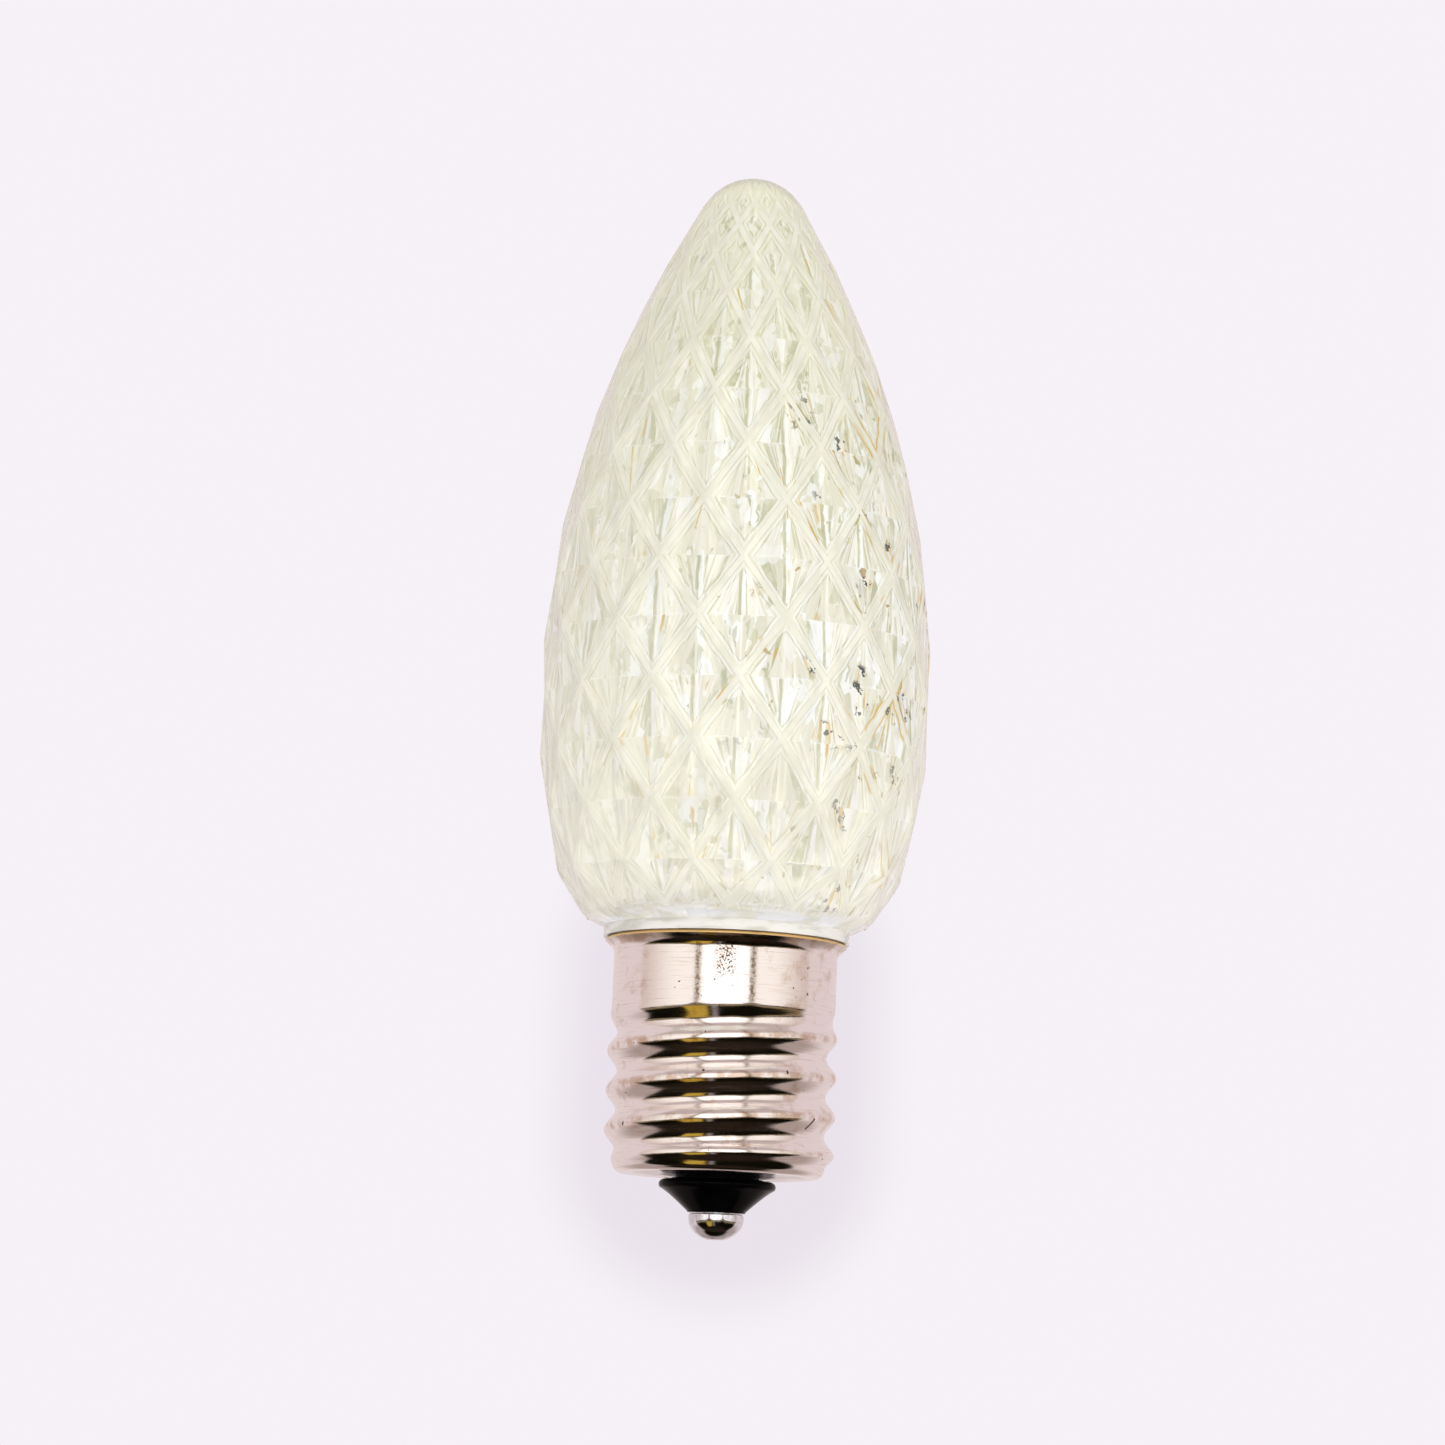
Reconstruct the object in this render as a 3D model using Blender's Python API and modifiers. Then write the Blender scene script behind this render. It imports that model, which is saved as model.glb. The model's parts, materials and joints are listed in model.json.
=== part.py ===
"""An LED Christmas bulb: a clear faceted lens on a rolled screw base.

The tip of the lens points along +Z. The origin is the lowest point of the centre contact, on the
bulb's axis, and the bulb is seen from the -Y side. Lengths are in metres."""

import math

import bmesh
import bpy
from mathutils import Matrix, Vector

MM = 0.001
FRONT = -math.pi / 2
ROUND_ANGLE = math.radians(40)

# Gaps between pieces that meet on the real bulb
SEAT_GAP = 0.3 * MM
SMALL_GAP = 0.1 * MM

# Centre contact: a domed cap with a hollow shank that goes up through the insulator
CONTACT_RADIUS = 1.98 * MM
CONTACT_HEIGHT = 1.8 * MM
CONTACT_RIM = 0.3 * MM
CONTACT_FLAT_RADIUS = 0.6 * MM
SHANK_RADIUS = 0.85 * MM
SHANK_STAND = 0.8 * MM
SHANK_BORE_RADIUS = 0.5 * MM
SHANK_BORE_DEPTH = 2.2 * MM

# Insulator: a black cone below the shell, with a neck through its end and a head inside
INSULATOR_TIP_RADIUS = 2.1 * MM
INSULATOR_RADIUS = 4.2 * MM
INSULATOR_HEIGHT = 2.3 * MM
INSULATOR_EDGE = 0.35 * MM
INSULATOR_NECK_RADIUS = 3.0 * MM
INSULATOR_HEAD_RADIUS = 3.9 * MM
INSULATOR_HEAD_HEIGHT = 0.9 * MM

# Screw shell: one thin wall, with a rolled thread, a plain collar and a flared lip
SHELL_WALL = 0.3 * MM
SHELL_FOOT_RADIUS = 7.6 * MM
SHELL_FOOT_ROUND = 0.7 * MM
SHELL_END_RISE = 0.25 * MM
THREAD_PITCH = 2.822 * MM
THREAD_CREST_RADIUS = 8.25 * MM
THREAD_ROOT_RADIUS = 7.5 * MM
THREAD_HEIGHT = 12.4 * MM
THREAD_RUN_IN = 1.3 * MM
THREAD_RUN_OUT = 1.2 * MM
FIRST_CREST_HEIGHT = 1.85 * MM
COLLAR_RADIUS = 8.03 * MM
COLLAR_HEIGHT = 3.85 * MM
LIP_RADIUS = 8.7 * MM
LIP_HEIGHT = 0.6 * MM
SHELL_SIDES = 32
ROWS_PER_PITCH = 7

# Lens: a plug that sits in the shell, a rim on its lip, and a body cut in diamond facets
PLUG_DEPTH = 3.4 * MM
PLUG_WALL = 1.33 * MM
RIM_OVERHANG = 0.15 * MM
RIM_HEIGHT = 0.6 * MM
SHOULDER_RISE = 0.5 * MM
LENS_RADIUS = 14.16 * MM
WIDEST_ABOVE_RIM = 17.25 * MM
TIP_ABOVE_WIDEST = 38.35 * MM
TIP_RADIUS = 4.16 * MM
TIP_ANGLE = math.radians(31.6)
LOWER_FULLNESS = 17.9 * MM
MIDDLE_FULLNESS = 13.3 * MM
UPPER_FULLNESS = 12.55 * MM
LENS_WALL = 1.6 * MM
LENS_TURN = math.radians(0.8)
FACETS_AROUND = 14
FIRST_RING_OUT = 1.5 * MM
FIRST_FACET_STEP = 3.45 * MM
FACET_STEP = 4.3 * MM
FACET_TAPER_RADIUS = 9.8 * MM
LAST_RING_RADIUS = 3.0 * MM
LAND_WIDTH = 0.42 * MM
ROUND_SIDES_PER_FACET = 3
FLUTES = 28
FLUTE_DEPTH = 0.3 * MM
CAVITY_ROWS = 12

# Light board and its chip LEDs: four round a middle one, as large as the plug leaves room for
BOARD_THICKNESS = 0.8 * MM
CHIPS_AROUND = 4
CHIP_TO_PLUG = 0.5 * MM
CHIP_SPACING = 0.28 * MM
CHIP_SLENDERNESS = 1.25
CHIP_HEIGHT = 1.6 * MM
CHIP_EDGE = 0.12 * MM
WINDOW_WALL = 0.2 * MM
WINDOW_TAPER = 0.3 * MM
WINDOW_DEPTH = 0.7 * MM
PHOSPHOR_GAP = 0.04 * MM

# Driver board, which hangs under the light board by two tabs
TAB_WIDTH = 1.8 * MM
TAB_SHOULDER = 0.4 * MM
DRIVER_TO_SHELL = 1.0 * MM
TAB_STAND = 0.5 * MM

# Parts on the driver board
BRIDGE_WIDTH = 4.0 * MM
BRIDGE_LENGTH = 3.7 * MM
BRIDGE_DEPTH = 2.3 * MM
BRIDGE_BELOW_BOARD = 0.5 * MM
BRIDGE_EDGE = 0.3 * MM
LEG_WIDTH = 0.6 * MM
LEG_REACH = 0.4 * MM
LEG_FOOT = 0.6 * MM
LEG_THICKNESS = 0.2 * MM
LEG_SPACING = 2.54 * MM
CAPACITOR_RADIUS = 2.0 * MM
CAPACITOR_HEIGHT = 4.0 * MM
CAPACITOR_EDGE = 0.3 * MM
CAPACITOR_LEAD_SPACING = 1.6 * MM
CHIP_RESISTOR_WIDTH = 1.5 * MM
CHIP_RESISTOR_LENGTH = 3.0 * MM
CHIP_RESISTOR_DEPTH = 0.55 * MM
CHIP_RESISTOR_TO_CAPACITOR = 0.7 * MM

# Fusible resistor between the driver board and the centre contact, and the two wires
RESISTOR_RADIUS = 1.05 * MM
RESISTOR_WAIST = 0.88 * MM
RESISTOR_LENGTH = 3.0 * MM
RESISTOR_TO_SHANK = 0.8 * MM
RESISTOR_TO_DRIVER = 0.9 * MM
LEAD_RADIUS = 0.24 * MM
LEAD_TO_BRIDGE = 0.3 * MM
WIRE_RADIUS = 0.4 * MM
LEAD_LAP = 1.1 * MM
SOLDER_MARGIN = 0.35 * MM
SOLDER_HEIGHT = 0.7 * MM

# Radii and heights that follow from the sizes above
END_HOLE_RADIUS = INSULATOR_NECK_RADIUS + SEAT_GAP
SHELL_BORE_RADIUS = COLLAR_RADIUS - SHELL_WALL
PLUG_RADIUS = SHELL_BORE_RADIUS - SEAT_GAP
NECK_BORE_RADIUS = PLUG_RADIUS - PLUG_WALL
RIM_RADIUS = LIP_RADIUS + RIM_OVERHANG
DRIVER_HALF_WIDTH = min(NECK_BORE_RADIUS, THREAD_ROOT_RADIUS - SHELL_WALL - DRIVER_TO_SHELL)
TAB_OUTSIDE = DRIVER_HALF_WIDTH - TAB_SHOULDER
END_FLAT_RADIUS = SHELL_FOOT_RADIUS - SHELL_FOOT_ROUND
SOLDER_RADIUS = (END_FLAT_RADIUS - INSULATOR_HEAD_RADIUS) / 2 - SOLDER_MARGIN
SOLDER_DISTANCE = (END_FLAT_RADIUS + INSULATOR_HEAD_RADIUS) / 2
DRIVER_FACE = BOARD_THICKNESS / 2 + SMALL_GAP
INSULATOR_FOOT = CONTACT_HEIGHT + SMALL_GAP
INSULATOR_SEAT = INSULATOR_FOOT + INSULATOR_HEIGHT
SHELL_FOOT = INSULATOR_SEAT + SMALL_GAP
THREAD_TOP = SHELL_FOOT + THREAD_HEIGHT
LIP_FOOT = THREAD_TOP + COLLAR_HEIGHT
RIM_FOOT = LIP_FOOT + LIP_HEIGHT + SHELL_WALL + SMALL_GAP
RIM_TOP = RIM_FOOT + RIM_HEIGHT
WIDEST = RIM_TOP + WIDEST_ABOVE_RIM
TIP = WIDEST + TIP_ABOVE_WIDEST
PLUG_FOOT = RIM_FOOT - PLUG_DEPTH
BOARD_TOP = PLUG_FOOT - SMALL_GAP
BOARD_FOOT = BOARD_TOP - BOARD_THICKNESS
DRIVER_TOP = BOARD_FOOT - SMALL_GAP


def end_wall_height(radius):
    """The upper face of the shell's slightly coned end wall at this distance from the axis."""
    share = (radius - END_HOLE_RADIUS) / (END_FLAT_RADIUS - END_HOLE_RADIUS)
    return SHELL_FOOT + SHELL_END_RISE * share + SHELL_WALL


def chip_width():
    """The width of the widest chip that fits five times: its outer corners reach the plug's clearance.

    A chip that stands across a diagonal of the middle one starts at middle * width + CHIP_SPACING
    from the axis. Its outer corners lie one width further out and half a length to each side."""
    outside = NECK_BORE_RADIUS - CHIP_TO_PLUG
    middle = (1 + CHIP_SLENDERNESS) / math.sqrt(8)
    a = (1 + middle) ** 2 + (CHIP_SLENDERNESS / 2) ** 2
    b = (1 + middle) * CHIP_SPACING
    c = CHIP_SPACING**2 - outside**2
    return (math.sqrt(b**2 - a * c) - b) / a


HEAD_FOOT = end_wall_height(INSULATOR_HEAD_RADIUS) + SMALL_GAP
HEAD_TOP = HEAD_FOOT + INSULATOR_HEAD_HEIGHT
SHANK_TOP = HEAD_TOP + SHANK_STAND
RESISTOR_FOOT = SHANK_TOP + RESISTOR_TO_SHANK
RESISTOR_TOP = RESISTOR_FOOT + RESISTOR_LENGTH
DRIVER_FOOT = RESISTOR_TOP + RESISTOR_TO_DRIVER
BRIDGE_MIDDLE = DRIVER_TOP - BRIDGE_BELOW_BOARD - BRIDGE_LENGTH / 2
CHIP_WIDTH = chip_width()
CHIP_LENGTH = CHIP_WIDTH * CHIP_SLENDERNESS
WINDOW_RADIUS = CHIP_WIDTH / 2 - WINDOW_WALL
WINDOW_FLOOR_RADIUS = WINDOW_RADIUS - WINDOW_TAPER


def clear_scene():
    for obj in list(bpy.data.objects):
        bpy.data.objects.remove(obj, do_unlink=True)


def collection(name):
    made = bpy.data.collections.new(name)
    bpy.context.scene.collection.children.link(made)
    return made


def finish(name, colour, roughness=0.5, metallic=0.0, transmission=0.0, ior=1.5):
    """A Principled BSDF material."""
    material = bpy.data.materials.new(name)
    material.use_nodes = True
    shader = material.node_tree.nodes["Principled BSDF"]
    shader.inputs["Base Color"].default_value = (*colour, 1)
    shader.inputs["Roughness"].default_value = roughness
    shader.inputs["Metallic"].default_value = metallic
    shader.inputs["Transmission Weight"].default_value = transmission
    shader.inputs["IOR"].default_value = ior
    return material


def add_object(name, data, material, group):
    obj = bpy.data.objects.new(name, data)
    if material is not None:
        obj.data.materials.append(material)
    group.objects.link(obj)
    return obj


def object_from(bm, name, material, group, smooth_angle=None, is_solid=True):
    """The bmesh as a named object, shaded smooth up to the given angle between faces."""
    if is_solid:
        bmesh.ops.recalc_face_normals(bm, faces=bm.faces)
    mesh = bpy.data.meshes.new(name)
    bm.to_mesh(mesh)
    bm.free()
    if smooth_angle is not None:
        mesh.shade_smooth()
        mesh.set_sharp_from_angle(angle=smooth_angle)
    return add_object(name, mesh, material, group)


def applied(obj, smooth_angle=None):
    """Swaps the object's data for the mesh that its modifiers or its bevel make, welded and shaded."""
    graph = bpy.context.evaluated_depsgraph_get()
    mesh = bpy.data.meshes.new_from_object(obj.evaluated_get(graph))
    bm = bmesh.new()
    bm.from_mesh(mesh)
    bmesh.ops.remove_doubles(bm, verts=bm.verts, dist=1e-3 * MM)
    bm.to_mesh(mesh)
    bm.free()
    if smooth_angle is not None:
        mesh.shade_smooth()
        mesh.set_sharp_from_angle(angle=smooth_angle)
    name, place, group = obj.name, obj.matrix_world.copy(), obj.users_collection[0]
    bpy.data.objects.remove(obj, do_unlink=True)
    made = bpy.data.objects.new(name, mesh)
    made.matrix_world = place
    group.objects.link(made)
    return made


def turned(name, outline, material, group, sides=20, closed=False):
    """A turned piece: (radius, height) points, top to bottom on the outer side, round the Z axis."""
    mesh = bpy.data.meshes.new(name)
    edges = [(i, i + 1) for i in range(len(outline) - 1)]
    if closed:
        edges.append((len(outline) - 1, 0))
    mesh.from_pydata([(radius, 0, height) for radius, height in outline], edges, [])
    obj = add_object(name, mesh, material, group)
    screw = obj.modifiers.new("turn", "SCREW")
    screw.axis = "Z"
    screw.steps = screw.render_steps = sides
    screw.use_merge_vertices = True
    screw.merge_threshold = 1e-3 * MM
    return applied(obj, smooth_angle=ROUND_ANGLE)


def sheet(name, outline, thickness, material, group):
    """A flat piece cut from sheet: (x, y) points round its edge, with half its thickness each way."""
    curve = bpy.data.curves.new(name, "CURVE")
    curve.dimensions = "2D"
    curve.fill_mode = "BOTH"
    curve.extrude = thickness / 2
    spline = curve.splines.new("POLY")
    spline.points.add(len(outline) - 1)
    for place, (x, y) in zip(spline.points, outline):
        place.co = (x, y, 0, 1)
    spline.use_cyclic_u = True
    return add_object(name, curve, material, group)


def box(name, size, centre, material, group, edge=0.0):
    """A box with its centre at the given point and, if asked, rounded edges."""
    bm = bmesh.new()
    bmesh.ops.create_cube(bm, size=1)
    bmesh.ops.scale(bm, vec=size, verts=bm.verts)
    if edge > 0:
        bmesh.ops.bevel(bm, geom=bm.edges, offset=edge, segments=1, profile=0.5, affect="EDGES")
    obj = object_from(bm, name, material, group)
    obj.location = centre
    return obj


def hide_cutter(obj):
    obj.hide_render = True
    obj.display_type = "WIRE"
    return obj


def boolean(obj, other, operation):
    modifier = obj.modifiers.new(operation.lower(), "BOOLEAN")
    modifier.operation = operation
    modifier.solver = "EXACT"
    modifier.object = hide_cutter(other)
    return modifier


def wire(name, points, radius, material, group):
    """A round wire along a smooth curve through the points."""
    curve = bpy.data.curves.new(name, "CURVE")
    curve.dimensions = "3D"
    curve.bevel_depth = radius
    curve.bevel_resolution = 1
    curve.use_fill_caps = True
    spline = curve.splines.new("POLY")
    route = smooth_route([Vector(point) for point in points])
    spline.points.add(len(route) - 1)
    for place, point in zip(spline.points, route):
        place.co = (*point, 1)
    return add_object(name, curve, material, group)


def smooth_route(points, steps=3):
    """Catmull-Rom points through the given ones."""
    ends = [2 * points[0] - points[1], *points, 2 * points[-1] - points[-2]]
    route = []
    for a, b, c, d in zip(ends, ends[1:], ends[2:], ends[3:]):
        for step in range(steps):
            t = step / steps
            route.append(
                0.5 * (2 * b + (c - a) * t + (2 * a - 5 * b + 4 * c - d) * t**2
                       + (3 * b - a - 3 * c + d) * t**3)
            )
    return [*route, points[-1]]


def fade(value, low, high):
    """0 at low, 1 at high and smooth between them."""
    t = min(max((value - low) / (high - low), 0), 1)
    return t * t * (3 - 2 * t)


def arc(centre, radii, start, end, steps):
    """Points on an ellipse in (radius, height), with angles in degrees from the outward side."""
    points = []
    for step in range(steps + 1):
        angle = math.radians(start + (end - start) * step / steps)
        points.append((centre[0] + radii[0] * math.cos(angle), centre[1] + radii[1] * math.sin(angle)))
    return points


def bezier(start, start_handle, end_handle, end, steps):
    points = []
    for step in range(steps + 1):
        t = step / steps
        weights = ((1 - t) ** 3, 3 * (1 - t) ** 2 * t, 3 * (1 - t) * t**2, t**3)
        corners = (start, start_handle, end_handle, end)
        points.append(tuple(sum(w * c[k] for w, c in zip(weights, corners)) for k in (0, 1)))
    return points


def lens_outline(steps=40):
    """The lens's outer curve, from its rim up to the middle of its tip, as (radius, height)."""
    widest = (LENS_RADIUS, WIDEST)
    rim = (RIM_RADIUS, RIM_TOP)
    tip_centre = TIP - TIP_RADIUS
    along = (-math.sin(TIP_ANGLE), math.cos(TIP_ANGLE))
    tangent = (TIP_RADIUS * math.cos(TIP_ANGLE), tip_centre + TIP_RADIUS * math.sin(TIP_ANGLE))
    above_rim = (RIM_RADIUS, RIM_TOP + SHOULDER_RISE)
    lower = bezier(rim, above_rim, (LENS_RADIUS, WIDEST - LOWER_FULLNESS), widest, steps)
    before_tip = (tangent[0] - UPPER_FULLNESS * along[0], tangent[1] - UPPER_FULLNESS * along[1])
    upper = bezier(widest, (LENS_RADIUS, WIDEST + MIDDLE_FULLNESS), before_tip, tangent, steps)
    tip = arc((0, tip_centre), (TIP_RADIUS, TIP_RADIUS), math.degrees(TIP_ANGLE), 90, steps // 3)
    return lower + upper[1:] + tip[1:]


def lengths_along(outline):
    total = [0.0]
    for a, b in zip(outline, outline[1:]):
        total.append(total[-1] + math.dist(a, b))
    return total


def point_along(outline, lengths, length):
    for i, end in enumerate(lengths[1:]):
        if length <= end:
            t = (length - lengths[i]) / (end - lengths[i])
            a, b = outline[i], outline[i + 1]
            return a[0] + (b[0] - a[0]) * t, a[1] + (b[1] - a[1]) * t
    return outline[-1]


def facet_rings(outline):
    """Where the rings of facet corners lie. Near the tip the steps shrink with the girth."""
    lengths = lengths_along(outline)
    length = next(l for l, point in zip(lengths, outline) if point[0] >= RIM_RADIUS + FIRST_RING_OUT)
    rings = [point_along(outline, lengths, length)]
    length += FIRST_FACET_STEP
    while True:
        ring = point_along(outline, lengths, length)
        if ring[1] > WIDEST and ring[0] < LAST_RING_RADIUS:
            return rings
        rings.append(ring)
        length += FACET_STEP * min(1, ring[0] / FACET_TAPER_RADIUS)


def on_height(bm, height):
    return [vert for vert in bm.verts if abs(vert.co.z - height) < 1e-3 * MM]


def is_level(edge):
    """Whether the edge runs round the axis, at one height and one distance from it."""
    a, b = (vert.co for vert in edge.verts)
    return abs(a.z - b.z) < 1e-3 * MM and abs(a.xy.length - b.xy.length) < 1e-3 * MM


def make_round(bm, highest):
    """Cuts the sides of each 14-sided ring up to this height and moves the cuts out to the circle."""
    level = [edge for edge in bm.edges if is_level(edge) and edge.verts[0].co.z < highest]
    rings = {}
    for edge in level:
        co = edge.verts[0].co
        rings.setdefault((round(co.z / MM, 2), round(co.xy.length / MM, 2)), []).append(edge)
    for ring in rings.values():
        radius = ring[0].verts[0].co.xy.length
        cut = bmesh.ops.subdivide_edges(bm, edges=ring, cuts=ROUND_SIDES_PER_FACET - 1)
        for item in cut["geom_inner"]:
            if isinstance(item, bmesh.types.BMVert):
                item.co.xy = item.co.xy.normalized() * radius


def lens_body(material, parts):
    """The lens's outside: a 14-sided barrel whose rings are each turned half a facet further.

    Cut along their short diagonals, its sheared panels become the diamonds, each of two flat
    triangles that meet in a level crease. The slanting ridges between diamonds are flattened, and
    the flats' lower ends go back onto the first ring."""
    outline = lens_outline()
    rings = facet_rings(outline)
    lengths = lengths_along(outline)
    cap_start = next(l for l, p in zip(lengths, outline) if p[1] > rings[-1][1])
    cap = [point_along(outline, lengths, cap_start + (lengths[-1] - cap_start) * t) for t in (0.3, 0.65)]
    plug = [(PLUG_RADIUS, PLUG_FOOT), (PLUG_RADIUS, RIM_FOOT)]
    rim = [(RIM_RADIUS, RIM_FOOT), (RIM_RADIUS, RIM_TOP)]
    shoulder_end = next(l for l, p in zip(lengths, outline) if p[1] > rings[0][1])
    shoulder = [point_along(outline, lengths, shoulder_end * t) for t in (0.35, 0.7)]
    profile = [(0, PLUG_FOOT), *plug, *rim, *shoulder, *rings, *cap, (0, TIP)]
    bm = bmesh.new()
    turn = FRONT + LENS_TURN
    verts = [bm.verts.new((r * math.cos(turn), r * math.sin(turn), z)) for r, z in profile]
    edges = [bm.edges.new(pair) for pair in zip(verts, verts[1:])]
    bmesh.ops.spin(
        bm, geom=verts + edges, axis=(0, 0, 1), cent=(0, 0, 0), angle=math.tau, steps=FACETS_AROUND,
        use_merge=True,
    )
    bmesh.ops.remove_doubles(bm, verts=bm.verts, dist=1e-4 * MM)
    half_facet = math.pi / FACETS_AROUND
    for index, ring in enumerate([*rings, *cap]):
        twist = Matrix.Rotation(min(index, len(rings) - 1) * half_facet, 3, "Z")
        bmesh.ops.rotate(bm, verts=on_height(bm, ring[1]), cent=(0, 0, 0), matrix=twist)
    first, last = rings[0][1], rings[-1][1]
    panels = [face for face in bm.faces if first < face.calc_center_median().z]
    bmesh.ops.triangulate(bm, faces=panels, quad_method="SHORT_EDGE")
    ridges = []
    for edge in bm.edges:
        low, high = sorted(vert.co.z for vert in edge.verts)
        if low > first - SMALL_GAP and high < last + SMALL_GAP and high - low > SMALL_GAP:
            ridges.append(edge)
    make_round(bm, first + SMALL_GAP)
    bmesh.ops.triangulate(bm, faces=bm.faces, quad_method="SHORT_EDGE", ngon_method="BEAUTY")
    for face in bm.faces:
        on_shoulder = sum(vert.co.z < first + SMALL_GAP for vert in face.verts) > 1
        face.smooth = on_shoulder or face.calc_center_median().z > last
    bmesh.ops.bevel(
        bm, geom=ridges, offset=LAND_WIDTH / 2, offset_type="OFFSET", segments=1, profile=0.5,
        affect="EDGES", clamp_overlap=True,
    )
    for vert in bm.verts:
        if vert.co.z < first and vert.co.xy.length > shoulder[-1][0] + SMALL_GAP:
            vert.co.xy = vert.co.xy.normalized() * rings[0][0]
            vert.co.z = first
    for edge in bm.edges:
        edge.smooth = all(face.smooth for face in edge.link_faces) and edge.calc_face_angle(0) < ROUND_ANGLE
    return object_from(bm, "lens", material, parts)


def lens_cavity(cutters):
    """The hollow of the lens: its outer curve moved in by the wall, with flutes down its side."""
    outline = lens_outline()
    inner = []
    for a, b in zip(outline, outline[1:]):
        across = Vector((b[1] - a[1], a[0] - b[0])).normalized() * LENS_WALL
        inner.append(((a[0] + b[0]) / 2 - across.x, (a[1] + b[1]) / 2 - across.y))
    inner = [point for point in inner if point[0] > SMALL_GAP]
    lengths = lengths_along(inner)
    shares = [0.5 - 0.5 * math.cos(math.pi * row / CAVITY_ROWS) for row in range(CAVITY_ROWS + 1)]
    rows = [point_along(inner, lengths, lengths[-1] * share) for share in shares]
    neck_top = rows[0][1] - (rows[0][0] - NECK_BORE_RADIUS) / 2
    profile = [
        (0, PLUG_FOOT - MM), (NECK_BORE_RADIUS, PLUG_FOOT - MM), (NECK_BORE_RADIUS, neck_top), *rows,
        (0, rows[-1][1] + rows[-1][0] / 4),
    ]
    bm = bmesh.new()
    turn = FRONT + LENS_TURN
    verts = [bm.verts.new((r * math.cos(turn), r * math.sin(turn), z)) for r, z in profile]
    edges = [bm.edges.new(pair) for pair in zip(verts, verts[1:])]
    bmesh.ops.spin(
        bm, geom=verts + edges, axis=(0, 0, 1), cent=(0, 0, 0), angle=math.tau, steps=2 * FLUTES,
        use_merge=True,
    )
    bmesh.ops.remove_doubles(bm, verts=bm.verts, dist=1e-4 * MM)
    for vert in bm.verts:
        column = round((math.atan2(vert.co.y, vert.co.x) - turn) / (math.pi / FLUTES))
        girth = vert.co.xy.length
        if column % 2 == 0 and girth > MM:
            depth = FLUTE_DEPTH * fade(vert.co.z, neck_top, WIDEST) * min(1, girth / NECK_BORE_RADIUS)
            vert.co.xy *= (girth - depth) / girth
    return hide_cutter(object_from(bm, "lens_cavity", None, cutters))


def thread_radius(height, angle):
    """The rolled wall's outer radius: a round-topped helix that fades into the foot and the collar."""
    turns = (height - SHELL_FOOT - FIRST_CREST_HEIGHT) / THREAD_PITCH - angle / math.tau
    dip = 0.5 - 0.5 * math.cos(math.tau * turns)
    thread = THREAD_CREST_RADIUS + (THREAD_ROOT_RADIUS - THREAD_CREST_RADIUS) * dip
    foot_top = SHELL_FOOT + SHELL_FOOT_ROUND
    foot_share = 1 - fade(height, foot_top, foot_top + THREAD_RUN_OUT)
    collar_share = fade(height, THREAD_TOP - THREAD_RUN_IN, THREAD_TOP)
    radius = thread + (SHELL_FOOT_RADIUS - thread) * foot_share
    return radius + (COLLAR_RADIUS - radius) * collar_share


def screw_shell(material, parts):
    """A rolled brass cup: its profile is spun, the thread pressed in, and the wall thickened inwards."""
    foot_centre = (SHELL_FOOT_RADIUS - SHELL_FOOT_ROUND, SHELL_FOOT + SHELL_END_RISE + SHELL_FOOT_ROUND)
    foot = arc(foot_centre, (SHELL_FOOT_ROUND, SHELL_FOOT_ROUND), -90, 0, 3)
    thread_foot = foot[-1][1]
    thread_length = THREAD_TOP - thread_foot
    rows = round(thread_length / THREAD_PITCH * ROWS_PER_PITCH)
    thread = [(SHELL_FOOT_RADIUS, thread_foot + thread_length * row / rows) for row in range(1, rows + 1)]
    flare = LIP_RADIUS - COLLAR_RADIUS
    lip = arc((LIP_RADIUS, LIP_FOOT), (flare, LIP_HEIGHT), 180, 90, 4)
    profile = [(END_HOLE_RADIUS, SHELL_FOOT), *foot, *thread, *lip]
    bm = bmesh.new()
    verts = [bm.verts.new((radius, 0, height)) for radius, height in profile]
    edges = [bm.edges.new(pair) for pair in zip(verts, verts[1:])]
    bmesh.ops.spin(
        bm, geom=verts + edges, axis=(0, 0, 1), cent=(0, 0, 0), angle=math.tau, steps=SHELL_SIDES,
        use_merge=True,
    )
    bmesh.ops.remove_doubles(bm, verts=bm.verts, dist=1e-4 * MM)
    for vert in bm.verts:
        if thread_foot - 1e-3 * MM < vert.co.z < THREAD_TOP + 1e-3 * MM:
            radius = thread_radius(vert.co.z, math.atan2(vert.co.y, vert.co.x))
            vert.co.xy = vert.co.xy.normalized() * radius
    bm.normal_update()
    if min(bm.faces, key=lambda face: face.calc_center_median().z).normal.z > 0:
        bmesh.ops.reverse_faces(bm, faces=bm.faces)
    shell = object_from(bm, "screw_shell", material, parts, math.radians(70), is_solid=False)
    wall = shell.modifiers.new("wall", "SOLIDIFY")
    wall.thickness = SHELL_WALL
    wall.offset = -1
    wall.use_even_offset = True
    return shell


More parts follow.
